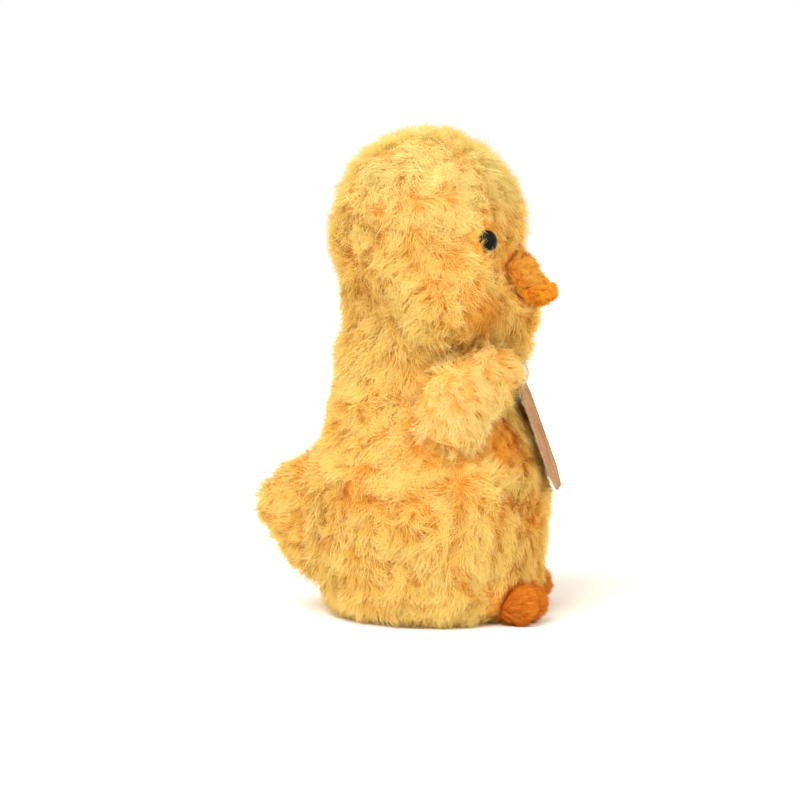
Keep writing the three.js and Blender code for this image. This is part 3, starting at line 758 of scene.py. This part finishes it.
# %% [markdown]
# Strands that would reach under the floor are laid on it. Light falls on pile as on one soft
# surface, so the shading of each strand leans to that of the skin it grows on. Without this a
# thousand thin ribbons glitter like straw.

# %% Settle the pile and build the tree
SOFTNESS = 3.0
INPUTS = {"Skin": "Geometry", "Spacing": "Float", "Bunch": "Float", "Pull": "Float",
          "Stray": "Float", "From": "Float", "To": "Float", "Seed": "Int",
          "Locks": "Collection", "Finish": "Material"}


def settle(tree, real, place):
    split = add(tree, "ShaderNodeSeparateXYZ", {"Vector": place}).outputs
    height = maths(tree, "MAXIMUM", split[2], FLOOR_GAP / 2)
    above = add(tree, "ShaderNodeCombineXYZ", {0: split[0], 1: split[1], 2: height}).outputs[0]
    real = add(tree, "GeometryNodeSetPosition", {"Geometry": real, "Position": above}).outputs[0]
    own = add(tree, "GeometryNodeInputNormal").outputs[0]
    skin = vectors(tree, "MULTIPLY", named(tree, "outwards", "FLOAT_VECTOR"), (SOFTNESS,) * 3)
    soft = vectors(tree, "NORMALIZE", vectors(tree, "ADD", own, skin))
    real = add(tree, "GeometryNodeSetMeshNormal", {"Mesh": real}, mode="FREE", domain="POINT")
    tree.links.new(soft, real.inputs["Custom Normal"])
    return real.outputs[0]


def pile_tree():
    tree = bpy.data.node_groups.new("Plant pile", "GeometryNodeTree")
    tree.interface.new_socket("Pile", in_out="OUTPUT", socket_type="NodeSocketGeometry")
    for name, kind in INPUTS.items():
        tree.interface.new_socket(name, in_out="INPUT", socket_type="NodeSocket" + kind)
    given = add(tree, "NodeGroupInput").outputs
    place = add(tree, "GeometryNodeInputPosition").outputs[0]
    points, normal = sow(tree, given, place)
    facing, scale = stance(tree, given, place, normal)
    pile = settle(tree, plant(tree, given, points, facing, scale), place)
    dyed = add(tree, "GeometryNodeSetMaterial", {"Geometry": pile, "Material": given["Finish"]})
    add(tree, "NodeGroupOutput", {0: dyed.outputs[0]})
    return tree


planting = pile_tree()
print("the planting tree has", len(planting.nodes), "nodes")

# %% [markdown]
# A wing is a soft flap, sewn on along its back edge. Its pieces are not ridden on a body: their
# place is written into their meshes. Every other piece rides on one body.


def follow(piece, body):
    """Ride a piece on its body. A wing's piece only has its place written into its mesh."""
    if not body.startswith("wing_"):
        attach(piece, body)
        return
    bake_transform(piece)


# %% [markdown]
# A skin keeps no live tree. Each sector is grown once, kept as a plain mesh that moves as its
# skin does, and the modifier is taken off again.


# %% Grow the pile of one skin
def grow(skin, name, body, slot, finish, group, sectors=1, **settings):
    for number in range(sectors):
        edge = [math.pi * (2 * (number + i) / sectors - 1) for i in (0, 1)]
        tag = f"_{number + 1}" if sectors > 1 else ""
        modifier = skin.modifiers.new("pile", "NODES")
        modifier.node_group = planting
        values = dict(settings, From=edge[0], To=edge[1], Locks=group, Finish=finish)
        for item in planting.interface.items_tree:
            if item.in_out == "INPUT" and item.name in values:
                modifier[item.identifier] = values[item.name]
        graph = bpy.context.evaluated_depsgraph_get()
        mesh = bpy.data.meshes.new_from_object(skin.evaluated_get(graph), depsgraph=graph)
        skin.modifiers.remove(modifier)
        piece = into_scene(f"{name}{tag}", mesh)
        follow(piece, body)
        triangles = sum(len(face.vertices) - 2 for face in mesh.polygons)
        print(piece.name, triangles, "triangles")


# %% [markdown]
# Plush is dyed in one colour, and the rest is light, painted into the colour here: a painted shade
# sinks it to a deep orange between the roots, and it comes out pale at the tips, where the fibre
# is cut and thin. Each strand, lock and patch differs a little from the next.


# %% Dye the pile
THROUGH = 0.38  # the share of the light that comes through a strand
GLOW = tint(255, 245, 224)


def pile_material(name, root, body, tip, shade_tint):
    """A dye from root to tip, and the colour that painted shade multiplies it by."""
    material, tree, shader = new_material(name, Roughness=0.75)
    shader.inputs["Sheen Weight"].default_value = 0.08
    shader.inputs["Sheen Roughness"].default_value = 0.5
    shader.inputs["Sheen Tint"].default_value = tip
    shader.inputs["Specular IOR Level"].default_value = 0.05

    def attribute(key):
        return add(tree, "ShaderNodeAttribute", attribute_name=key).outputs["Fac"]

    # Each lock is dyed a little further up or less, and each strand is a little darker or lighter.
    uneven = maths(tree, "MULTIPLY_ADD", attribute("lock"), 0.16, -0.08)
    along = maths(tree, "ADD", attribute("along"), uneven, clamp=True)
    # Painted shade: the colour sinks to deep orange at the roots, where the pile shades itself.
    colour = ramp(tree, along, [(0.0, root), (0.45, body), (1.0, tip)])
    # Painted shade: where the tone is below 1, the colour is multiplied by the shade tint.
    warm = maths(tree, "SUBTRACT", 1.0, attribute("tone"), clamp=True)
    colour = mixed(tree, warm, colour, shade_tint, "MULTIPLY")
    # Painted light: where the tone is above 1, on the crown, the colour turns to that of the tips.
    pale = maths(tree, "SUBTRACT", attribute("tone"), 1.0, clamp=True)
    colour = mixed(tree, pale, colour, tip)
    shade = alike(tree, maths(tree, "MULTIPLY_ADD", attribute("strand"), 0.12, 0.9))
    colour = mixed(tree, 1.0, colour, shade, "MULTIPLY")
    tree.links.new(colour, shader.inputs["Base Color"])
    deep = mixed(tree, 1.0, colour, GLOW, "MULTIPLY")
    glow = add(tree, "ShaderNodeBsdfTranslucent", {"Color": deep}).outputs[0]
    both = add(tree, "ShaderNodeMixShader", {0: THROUGH, 1: shader.outputs[0], 2: glow})
    tree.links.new(both.outputs[0], tree.nodes["Material Output"].inputs["Surface"])
    return material


SHORT_SHADE_TINT = tint(240, 205, 170)
golden = pile_material("golden_pile", tint(236, 156, 50), tint(255, 223, 110),
                       tint(255, 242, 172), tint(242, 196, 116))
cream = pile_material("cream_pile", tint(252, 196, 84), tint(255, 230, 136),
                      tint(255, 244, 188), tint(252, 214, 150))
orange = pile_material("orange_pile", tint(208, 104, 10), tint(230, 136, 30),
                       tint(242, 168, 72), SHORT_SHADE_TINT)
bright_orange = pile_material("bright_orange_pile", tint(236, 142, 18), tint(252, 180, 36),
                              tint(255, 200, 80), SHORT_SHADE_TINT)
brown = pile_material("brown_pile", tint(228, 152, 46), tint(250, 186, 66),
                      tint(255, 214, 112), SHORT_SHADE_TINT)
print("five dyes, each from the root of a strand to its tip")

# %% [markdown]
# The backing shows only where the pile parts. It is knitted, so fine specks of a darker shade
# stand for its loops, which are too small to model.


# %% Dye the backing
def backing_material(name, colour):
    material, tree, shader = new_material(name, Roughness=0.9)
    dark = tuple(part * 0.7 for part in colour[:3]) + (1,)
    paint(tree, shader, specks(tree, 900.0, 2.0), [(0.35, dark), (0.65, colour)])
    return material


golden_backing = backing_material("golden_backing", tint(246, 176, 70))
cream_backing = backing_material("cream_backing", tint(246, 196, 110))
orange_backing = backing_material("orange_backing", tint(206, 112, 22))
print("three shades of backing")

# %% [markdown]
# The body is the largest skin. Its pile is combed down, and parts where the tail and the feet are
# sewn on. It is trimmed where it would push the tag, a foot or a wing away.


# %% Body
PARTED_ROUND = 9 * MM
NECK_ROLL = 12 * MM
LONGER_AT_SEAM = 0.3
tag_surface = surface_of(["tag_card"])
TO_TAG = Vector((0, -1, 0.1)).normalized()


def down(place):
    """Down the body, outwards onto the tail and away from the feet."""
    onto_tail = fading(gap_to(hulls["tail"], place), PARTED_ROUND)
    way = Vector((0, 2.5 * onto_tail, -1))
    for side in ("right", "left"):
        found, _, _, gap = hulls[f"foot_{side}"].find_nearest(place)
        way += (place - found).normalized() * 3 * fading(gap, PARTED_ROUND)
    return way


def body_length(place):
    """Shorter round the feet, behind the tag and under the wings, longer at the neck and tail."""
    feet_gap = min(gap_to(hulls[f"foot_{side}"], place) for side in ("right", "left"))
    feet = min(1, 0.25 + feet_gap / (11 * MM))
    ahead, _, _, room = tag_surface.ray_cast(place, TO_TAG, 20 * MM)
    behind_tag = 1 if ahead is None else min(1.2, max(0.3, room / (7 * MM)))
    neck = LONGER_AT_SEAM * fading(place.z - 122 * MM, NECK_ROLL)
    tail = LONGER_AT_SEAM * fading(gap_to(hulls["tail"], place), PARTED_ROUND)
    wing = 0.55 * fading(gap_to(hulls["wing_right"], right_side(place)), 7 * MM)
    wing *= min(1, wing_seam_gap(place) / (15 * MM))
    return feet * behind_tag * (1 + neck + tail - wing)


def dress(name, nodes, backing, depth, swell):
    """A padded skin that stands for these nodes, ready to be combed."""
    skin = skin_of(name, depth, swell)
    skin.data.materials.append(backing)
    follow(skin, bodies[name])
    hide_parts(*nodes)
    return skin


DEPTH = 4.6 * MM
SWELL = 1.6 * MM
TAIL_SWELL = 1.5 * MM
body_skin = dress("body", ["body_cover"], golden_backing, DEPTH, SWELL)
comb(body_skin, "body", down, 2.2, short=body_length)
GOLDEN_GROWTH = dict(Spacing=1.54 * MM, Bunch=6 * MM, Pull=0.7, Stray=0.35)
grow(body_skin, "body_pile", "torso", "long_pile", golden, long_locks, 6,
     Seed=1, **GOLDEN_GROWTH)

# %% [markdown]
# The head is a cover of its own, sewn shut at the neck. Its pile parts at a whorl on the crown
# and runs down from there. Round the eyes it is clipped short, as a toymaker does with scissors,
# so that they show, and at the neck it is left long, so that it hides the seam.

# %% Head
CROWN = Vector((28, 16, 203)) * MM
CROWN_SPREAD = 16 * MM
CROWN_LIFT = 0.25
EYE_BARE = 5.2 * MM


def from_crown(place):
    way = place - CROWN
    return Vector((way.x, way.y, way.z - 20 * MM)).normalized()


def near_eye(place):
    return min((place - eye).length for eye in eye_places)


def head_length(place):
    """Shorter round the eyes and the beak, longer where the head meets the body."""
    beak = min(1, 0.45 + gap_to(hulls["beak"], place) / (14 * MM))
    neck = LONGER_AT_SEAM * fading(place.z - 128 * MM, NECK_ROLL)
    return min(1, 0.2 + near_eye(place) / (20 * MM)) * beak * (1 + neck)


head_skin = dress("head", ["head_cover"], golden_backing, DEPTH, SWELL)
comb(head_skin, "head", from_crown, 1.4, short=head_length,
     bare=lambda place: near_eye(place) < EYE_BARE,
     stand=lambda place: CROWN_LIFT * fading((place - CROWN).length, CROWN_SPREAD))
grow(head_skin, "head_pile", "torso", "long_pile", golden, long_locks, 4,
     Seed=2, **GOLDEN_GROWTH)

# %% [markdown]
# The tail is a small bag of the same plush, combed backwards. A wing is a flat bag of a paler
# plush that is sewn on at the shoulder only, so it lifts, and bends at that seam. Its strands
# spread from the shoulder and reach past the edge all round.

# %% Tail and wings
WING_DEPTH = 3.6 * MM
WING_SWELL = 1 * MM
tail_skin = dress("tail", ["tail_cover"], golden_backing, DEPTH, TAIL_SWELL)
comb(tail_skin, "tail", lambda place: Vector((0, 1, -0.5)), 1.2)
grow(tail_skin, "tail_pile", "torso", "long_pile", golden, long_locks, Seed=3, **GOLDEN_GROWTH)


def wing_length(place):
    """Longer towards the tip."""
    return 1 + 0.25 * max(0, -place.y / (30 * MM) - 0.6)


for side in ("right", "left"):
    name = f"wing_{side}"
    cover = f"wing_cover_{side}"
    wing_skin = dress(name, [cover], cream_backing, WING_DEPTH, WING_SWELL)
    wing_low, wing_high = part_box(cover)
    middle_x = (wing_low.x + wing_high.x) / 2
    wing_root = Vector((middle_x, wing_low.y * 0.45, wing_high.z - 17 * MM))

    def outwards_from_root(place, root=wing_root):
        far = min(1, (place - root).length / (30 * MM))
        return (place - root).normalized() * 1.6 * far - UP * 0.7 - Vector((0, 0.3, 0))

    comb(wing_skin, name, outwards_from_root, 0.9, long=0.85, short=wing_length)
    grow(wing_skin, f"{name}_pile", name, "pale_pile", cream, long_locks, Seed=4,
         Spacing=1.5 * MM, Bunch=6 * MM, Pull=0.7, Stray=0.3)

# %% [markdown]
# The feet are cut from a short orange plush, so their skins lie just under the surface of the
# model. The real ones are soft bags that rest on the table, and here the lower edge is rolled in.

# %% Feet
FOOT_DEPTH = 0.2 * MM
ROLLED_IN = 0.5
ROLL_HEIGHT = 9 * MM
for side in ("right", "left"):
    name = f"foot_{side}"
    cover = f"foot_cover_{side}"
    foot_skin = dress(name, [cover], orange_backing, FOOT_DEPTH, FOOT_DEPTH)
    middle = middle_of(cover)
    for vert in foot_skin.data.vertices:
        under = max(0, 1 - vert.co.z / ROLL_HEIGHT)
        off = Vector((vert.co.x - middle.x, vert.co.y - middle.y, 0))
        vert.co -= off * ROLLED_IN * (1 - math.sqrt(1 - under ** 2))
    comb(foot_skin, name, lambda place: Vector((0, -1, -0.25)), 0.5, long=1.3, parted=0.15)
    grow(foot_skin, f"{name}_pile", "torso", "short_pile", orange, short_locks, Seed=5,
         Spacing=0.85 * MM, Bunch=3.5 * MM, Pull=0.15, Stray=0.25)

# %% [markdown]
# The beak is sewn from two pieces of the short plush that meet in a seam along the mouth. Cloth
# rolls in towards a seam, so each half is drawn in close to the plane between the two. That
# plane is read from the flat faces of the model, and the pile of each half has its own shade.

# %% Beak
def flat_face(node):
    """The middle and normal of the largest flat face of a node."""
    groups = {}
    for face in frame["nodes"][node].data.polygons:
        key = tuple(round(part, 2) for part in face.normal)
        groups.setdefault(key, []).append(face)
    faces = max(groups.values(), key=lambda group: sum(face.area for face in group))
    area = sum(face.area for face in faces)
    middle = sum((face.center * face.area for face in faces), Vector()) / area
    return middle, sum((face.normal * face.area for face in faces), Vector()).normalized()


seam_upper, seam_down = flat_face("beak_upper")
seam_lower, seam_up = flat_face("beak_lower")
seam_rise = math.degrees(math.asin(-seam_up.dot(head_ahead)))
print("the beak's seam rises", round(seam_rise, 1), "degrees")
seam_middle = (seam_upper + seam_lower) / 2
seam_up = (seam_up - seam_down).normalized()
BEAK_PILE = 0.9 * MM
FURROW = 0.9 * MM
FURROW_WIDTH = 1.2 * MM
SEAM_GAP = 0.2 * MM
SEAM_BARE = 0.3 * MM


def off_seam(place):
    return (place - seam_middle).dot(seam_up)


def half_beak(name, node, up, backing):
    """One half of the beak, whose cloth rolls in towards the seam."""
    made = outlines["beak"].copy()
    for vert in made.verts:
        furrow = FURROW * fading(off_seam(vert.co), FURROW_WIDTH)
        vert.co -= vert.normal * (BEAK_PILE * (1 - near_seam("beak", vert.co)) + furrow)
    geometry = [*made.verts, *made.edges, *made.faces]
    cut = bmesh.ops.bisect_plane(made, geom=geometry, plane_co=seam_middle + up * SEAM_GAP,
                                 plane_no=up, clear_inner=True)
    edges = [item for item in cut["geom_cut"] if isinstance(item, bmesh.types.BMEdge)]
    bmesh.ops.triangle_fill(made, edges=edges, use_beauty=True)
    bmesh.ops.recalc_face_normals(made, faces=made.faces)
    skin = smooth_piece(name, made)
    skin.data.materials.append(backing)
    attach(skin, "torso")
    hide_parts(node)
    return skin


for node, up, finish, seed in (("beak_upper", seam_up, brown, 6),
                               ("beak_lower", -seam_up, bright_orange, 7)):
    half = half_beak(f"{node}_skin", node, up, orange_backing)
    comb(half, "beak", lambda place: head_ahead - UP * 0.5, 0.4,
         bare=lambda place: abs(off_seam(place)) < SEAM_BARE)
    grow(half, f"{node}_pile", "torso", "short_pile", finish, short_locks, Seed=seed,
         Spacing=0.8 * MM, Bunch=3 * MM, Pull=0.3, Stray=0.3)

# %% [markdown]
# Three things on this toy are round about an axis: the eyes, the base panel and the loop of the
# tag. A Screw modifier could turn them. A short helper does the same and closes the poles too.


# %% Turn an outline round an axis
def average(node):
    mesh = frame["nodes"][node].data
    return sum((vert.co for vert in mesh.vertices), Vector()) / len(mesh.vertices)


def lathe(name, outline, origin, axis, sides=96):
    """Turns an outline of (radius, height) round an axis."""
    made = bmesh.new()
    aim = axis.to_track_quat("Z", "Y")
    turns = [2 * math.pi * i / sides for i in range(sides)]

    def point(radius, turn, height):
        off = Vector((radius * math.cos(turn), radius * math.sin(turn), height))
        return made.verts.new(origin + aim @ off)

    rings = []
    for radius, height in outline:
        if radius < 1e-9:
            rings.append([made.verts.new(origin + axis * height)])
            continue
        rings.append([point(radius, turn, height) for turn in turns])
    for one, other in zip(rings, rings[1:]):
        for i in range(sides):
            j = (i + 1) % sides
            corners = [one[i % len(one)], one[j % len(one)],
                       other[j % len(other)], other[i % len(other)]]
            made.faces.new(list(dict.fromkeys(corners)))
    bmesh.ops.remove_doubles(made, verts=made.verts, dist=0.001 * MM)
    bmesh.ops.recalc_face_normals(made, faces=made.faces)
    return smooth_piece(name, made)


# %% [markdown]
# A safety eye is moulded: a polished dome, a thin rim and a shank that goes through the cloth.
# The model's own points give its radius, its height and its axis. The black is a little hazy,
# as an eye that has been wiped often is.

# %% Eyes
black, tree, shader = new_material("black_plastic", Roughness=0.2)
shader.inputs["Specular IOR Level"].default_value = 0.09
haze = specks(tree, 700.0, 4.0)
paint(tree, shader, haze, [(0.3, tint(10, 6, 5)), (0.7, tint(16, 10, 8))])
tree.links.new(maths(tree, "MULTIPLY_ADD", haze, 0.12, 0.12), shader.inputs["Roughness"])

DOME_STEPS = 24
SHANK_TUCK = 2 * MM
for side in ("right", "left"):
    node = f"eye_{side}"
    origin = average(node)
    axis = (origin - average(f"eye_washer_{side}")).normalized()
    points = []
    for vert in frame["nodes"][node].data.vertices:
        height = (vert.co - origin).dot(axis)
        points.append(((vert.co - origin - axis * height).length, height))
    widest = max(radius for radius, _ in points)
    rim = [height for radius, height in points if radius > widest * 0.999]
    rim_low, rim_top = min(rim), max(rim)
    top, foot = max(height for _, height in points), min(height for _, height in points)
    shank = max(radius for radius, height in points if height < rim_low - SHANK_TUCK)
    rises = [math.pi / 2 * (1 - i / DOME_STEPS) for i in range(DOME_STEPS)]
    dome = [(widest * math.cos(a), rim_top + (top - rim_top) * math.sin(a)) for a in rises]
    dome[0] = (0, top)
    outline = [*dome, (widest, rim_top), (widest, rim_low), (widest * 0.9, rim_low - 0.2 * MM),
               (shank, rim_low - 0.3 * MM), (shank, foot + 0.3 * MM), (shank * 0.8, foot),
               (0, foot)]
    eye = lathe(f"{node}_dome", outline, origin, axis)
    eye.data.materials.append(black)
    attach(eye, "torso")
    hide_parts(node)
    across, high = round(widest * 2000, 1), round((top - rim_top) * 1000, 1)
    print(node, "is", across, "mm across and its dome", high, "mm high")

# %% [markdown]
# Inside, each cover is packed with loose fibre, which settles into lumps, and the body also holds
# a cloth pouch of pellets. None of it shows on a whole toy, but it is there in the right place
# for anyone who opens it. The lumps are moved in code on the same wrapped ball as the skins.

# %% Filling
FIBRE_LUMP = 7 * MM
PELLET = 3.2 * MM


def inner_piece(node, body, finish, dent, detail=4):
    made = outline_of([node], middle_of(node), detail)
    outer = [(vert.co.copy(), vert.normal.copy()) for vert in made.verts]
    for vert, (place, normal) in zip(made.verts, outer):
        vert.co = place - normal * dent(place)
    piece = smooth_piece(f"{node}_fill", made)
    piece.data.materials.append(finish)
    follow(piece, body)
    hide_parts(node)


def fibre_dent(place):
    return 0.3 * MM + 1.4 * MM * abs(noise.noise(place / FIBRE_LUMP))


def foot_dent(place):
    return 0.5 * fibre_dent(place)


def pellet_dent(place):
    return 0.3 * MM + 0.5 * MM * min(1, noise.voronoi(place / PELLET)[0][0])


def waves(tree, direction="X", **inputs):
    """Bands across the piece's own space, which stand for strands or threads."""
    place = add(tree, "ShaderNodeTexCoord").outputs["Object"]
    made = add(tree, "ShaderNodeTexWave", {"Vector": place, **inputs}, bands_direction=direction)
    return made.outputs["Fac"]


fibre, tree, shader = new_material("loose_fibre", Roughness=0.95)
strands = waves(tree, Scale=260.0, Distortion=14.0, Detail=4.0)
paint(tree, shader, strands, [(0.2, tint(222, 218, 208)), (0.8, tint(250, 248, 242))])
emboss(tree, shader, strands, 0.3 * MM, 0.6)

linen, tree, shader = new_material("pouch_linen", Roughness=0.9)
threads = [waves(tree, direction, Scale=420.0, Distortion=0.6) for direction in ("X", "Y", "Z")]
weave = maths(tree, "MULTIPLY", maths(tree, "MAXIMUM", threads[0], threads[2]), threads[1])
paint(tree, shader, weave, [(0.0, tint(186, 174, 152)), (0.7, tint(226, 217, 198))])
emboss(tree, shader, weave, 0.2 * MM, 0.5)

for part, detail in (("body", 5), ("head", 5), ("tail", 5), ("beak", 4)):
    inner_piece(f"{part}_stuffing", "torso", fibre, fibre_dent, detail)
for side in ("right", "left"):
    inner_piece(f"wing_stuffing_{side}", f"wing_{side}", fibre, fibre_dent)
    inner_piece(f"foot_stuffing_{side}", "torso", fibre, foot_dent)
inner_piece("pellet_pouch", "torso", linen, pellet_dent, 5)
print("eight fillings and a pouch, with lumps", round(FIBRE_LUMP * 1000), "mm wide")

# %% [markdown]
# The washers are moulded, so they have an even skin with a fine grain. The base panel is cut from
# plain knitted cloth, since nobody sees it, and is sewn in by a ring of overcast stitches.

# %% Washers and base panel
moulded, tree, shader = new_material("moulded_white", Roughness=0.45)
grain = specks(tree, 2500.0, 3.0)
paint(tree, shader, grain, [(0.3, tint(222, 222, 218)), (0.7, tint(236, 236, 233))])
emboss(tree, shader, grain, 0.05 * MM, 0.4)
for side in ("right", "left"):
    washer = frame["nodes"][f"eye_washer_{side}"]
    washer.data.materials.clear()
    washer.data.materials.append(moulded)

STITCHES = 64
STITCH_LEAN = 35
STITCH_LONG = 3.4
THREAD = 0.8 * MM
radius, top = panel_high.x, panel_high.z
outline = [(0, THREAD), (radius - 3 * MM, THREAD), (radius - 0.8 * MM, 1.1 * THREAD),
           (radius, 2 * THREAD), (radius, top - 0.6 * MM), (radius - 0.6 * MM, top), (0, top)]
panel = lathe("base_panel_cloth", outline, Vector(), UP)
panel.data.materials.append(golden_backing)

made = bmesh.new()
squeeze = Matrix.Diagonal((1, 1, STITCH_LONG, 1))
for i in range(STITCHES):
    turn = 2 * math.pi * i / STITCHES
    out = Vector((math.cos(turn), math.sin(turn), 0))
    lean = Matrix.Rotation(math.radians(STITCH_LEAN), 3, "Z") @ out
    aim = lean.to_track_quat("Z", "Y").to_matrix().to_4x4()
    place = Matrix.Translation(out * (radius - 1.4 * MM) + UP * (0.65 * THREAD))
    stitch = bmesh.ops.create_icosphere(made, subdivisions=1, radius=THREAD / 2)
    bmesh.ops.transform(made, matrix=place @ aim @ squeeze, verts=stitch["verts"])
stitches = smooth_piece("base_stitches", made)
stitches.data.materials.append(backing_material("sewing_thread", tint(214, 150, 60)))
for piece in (panel, stitches):
    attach(piece, "torso")
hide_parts("base_panel")
print("the base panel is", round(radius * 2000), "mm across, with", STITCHES, "stitches")

# %% [markdown]
# The hang tag is stiff brown card, punched and cut with corners off. Its faces show the specks and
# short fibres of uncoated card, and its edges are paler where the blade went through.


# %% Hang tag
def card_material(name, dark, middle, pale):
    material, tree, shader = new_material(name, Roughness=0.85)
    cloud = specks(tree, 90.0, 6.0)
    hairs = specks(tree, 1800.0, 3.0, stretch=(3.0, 1.0, 0.35))
    mix = maths(tree, "MULTIPLY_ADD", hairs, 0.6, maths(tree, "MULTIPLY", cloud, 0.4))
    paint(tree, shader, mix, [(0.36, dark), (0.5, middle), (0.66, pale)])
    shader.inputs["Specular IOR Level"].default_value = 0.25
    emboss(tree, shader, hairs, 0.05 * MM, 0.4)
    return material


kraft = card_material("kraft_card", tint(134, 90, 55), tint(170, 121, 81), tint(190, 144, 103))
cut_edge = card_material("cut_card_edge", tint(146, 112, 80), tint(174, 142, 108),
                         tint(192, 164, 134))
EASED_EDGE = 0.15 * MM
FACE, EDGE = 0, 1
ACROSS_THE_CARD = Vector((1.0, 17.3, 311.7))  # passes every corner of the card one by one

made = bmesh.new()
made.from_mesh(frame["nodes"]["tag_card"].data)
bmesh.ops.remove_doubles(made, verts=made.verts, dist=0.01 * MM)
bmesh.ops.dissolve_limit(made, angle_limit=math.radians(1), verts=made.verts, edges=made.edges)
made.normal_update()
card_out = max(made.faces, key=lambda face: face.calc_area()).normal.copy()
bmesh.ops.bevel(made, geom=made.edges, offset=EASED_EDGE, segments=2, affect="EDGES",
                profile=0.5)
bmesh.ops.triangulate(made, faces=[face for face in made.faces if len(face.verts) > 4])
# The bevel leaves its corners and faces in another order each run, so they are sorted.
made.verts.sort(key=lambda vert: vert.co.dot(ACROSS_THE_CARD))
made.faces.sort(key=lambda face: face.calc_center_median().dot(ACROSS_THE_CARD))
made.normal_update()
for face in made.faces:
    face.material_index = FACE if abs(face.normal.dot(card_out)) > 0.8 else EDGE
mesh = bpy.data.meshes.new("hang_tag")
made.to_mesh(mesh)
tag = into_scene("hang_tag", mesh)
mesh.materials.append(kraft)
mesh.materials.append(cut_edge)
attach(tag, "tag")
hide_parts("tag_card")
print("the tag has", len(mesh.polygons), "faces")

# %% [markdown]
# The loop is clear drawn filament, closed in a ring through the chest and the hole of the tag. Its
# thickness and its size are read from the model's box, along the axis that the tag swings about.

# %% Nylon loop
nylon, tree, shader = new_material("drawn_nylon", Roughness=0.3)
shader.inputs["Transmission Weight"].default_value = 0.6
haze = specks(tree, 900.0, 2.0)
paint(tree, shader, haze, [(0.3, tint(228, 224, 214)), (0.7, tint(246, 243, 236))])
LOOP_SIDES = 16
low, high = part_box("tag_loop")
loop_axis = Vector(joint_named("tag_swing")["axis"]).normalized()
filament = (high.x - low.x - (high.y - low.y) * abs(loop_axis.y)) / 2
ring = (high.z - low.z) / 2 - filament
turns = [2 * math.pi * i / LOOP_SIDES for i in range(LOOP_SIDES + 1)]
outline = [(ring + filament * math.cos(t), filament * math.sin(t)) for t in turns]
loop = lathe("nylon_loop", outline, (low + high) / 2, loop_axis, 64)
loop.data.materials.append(nylon)
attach(loop, "torso")
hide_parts("tag_loop")
print("filament", round(filament * 2000, 2), "mm thick, ring", round(ring * 2000, 1), "mm across")

# %% [markdown]
# The photo looks at the chick's right side from a little above. The bearing, the rise and the
# target were found by comparing the render with the photo.

# %% Camera
CAMERA_BEARING = -85
CAMERA_RISE = 5.5
CAMERA_DISTANCE = 1.2
CAMERA_LENS = 122.7
CAMERA_TARGET = Vector((-1.15, 13.15, 94.2)) * MM


def direction(bearing, rise):
    """The way to something, in degrees round from the front and up from the floor."""
    a, e = math.radians(bearing), math.radians(rise)
    return Vector((math.sin(a) * math.cos(e), -math.cos(a) * math.cos(e), math.sin(e)))


camera = into_scene("camera", bpy.data.cameras.new("camera"))
camera_out = direction(CAMERA_BEARING, CAMERA_RISE)
camera.data.lens = CAMERA_LENS
camera.location = CAMERA_TARGET + camera_out * CAMERA_DISTANCE
camera.rotation_euler = camera_out.to_track_quat("Z", "Y").to_euler()
bpy.context.scene.camera = camera
print("the camera stands", CAMERA_DISTANCE, "m away, at", CAMERA_BEARING, "degrees")

# %% [markdown]
# Two wide suns give soft shadows, as the large lamps of a studio do. The sky is white where the
# camera sees it, and a little warm as a light, because much of the light that reaches deep pile
# has passed through yellow pile before.


# %% Light
def sun(name, bearing, rise, strength, spread):
    lamp = into_scene(name, bpy.data.lights.new(name, "SUN"))
    lamp.data.energy = strength
    lamp.data.angle = math.radians(spread)
    lamp.rotation_euler = direction(bearing, rise).to_track_quat("Z", "Y").to_euler()


sun("key", bearing=-120, rise=48, strength=2.85, spread=40)
sun("fill", bearing=-40, rise=30, strength=0.8, spread=60)

WARM_LIGHT = (1.0, 0.93, 0.77, 1)
WHITE = (1.0, 1.0, 1.0, 1)
world = bpy.data.worlds.new("studio")
bpy.context.scene.world = world
world.use_nodes = True
tree = world.node_tree
tree.nodes.clear()
path = add(tree, "ShaderNodeLightPath").outputs
seen = maths(tree, "MAXIMUM", path["Is Camera Ray"], path["Is Glossy Ray"])
seen = maths(tree, "MAXIMUM", seen, path["Is Transmission Ray"])
strength = maths(tree, "MULTIPLY_ADD", seen, 0.1, 0.9)
sky = add(tree, "ShaderNodeBackground",
          {"Color": mixed(tree, seen, WARM_LIGHT, WHITE), "Strength": strength})
add(tree, "ShaderNodeOutputWorld", {"Surface": sky.outputs[0]})
bpy.context.scene.view_settings.view_transform = "Standard"
print("two suns and a warm sky")

# %% [markdown]
# The chick sits on a white table, which only catches its shadow. It is declared as stage, so that
# it isn't taken for a part of the toy.

# %% Floor
FLOOR = 3.0
corners = [(-FLOOR, -FLOOR, 0), (FLOOR, -FLOOR, 0), (FLOOR, FLOOR, 0), (-FLOOR, FLOOR, 0)]
floor_mesh = bpy.data.meshes.new("floor")
floor_mesh.from_pydata(corners, [], [(0, 1, 2, 3)])
floor = into_scene("floor", floor_mesh)
white, tree, shader = new_material("white_table", Roughness=0.9)
shader.inputs["Base Color"].default_value = (0.98, 0.98, 0.98, 1)
shader.inputs["Specular IOR Level"].default_value = 0.0
floor_mesh.materials.append(white)
floor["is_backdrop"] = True
print("the table is", 2 * FLOOR, "m across")

# %% [markdown]
# The pile makes the chick a little larger than the model, so the box of the dressed chick is
# printed.

# %% Print the size of the dressed chick
low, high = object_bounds()
print("dressed", [round(v * 1000, 1) for v in (*low, *high)])
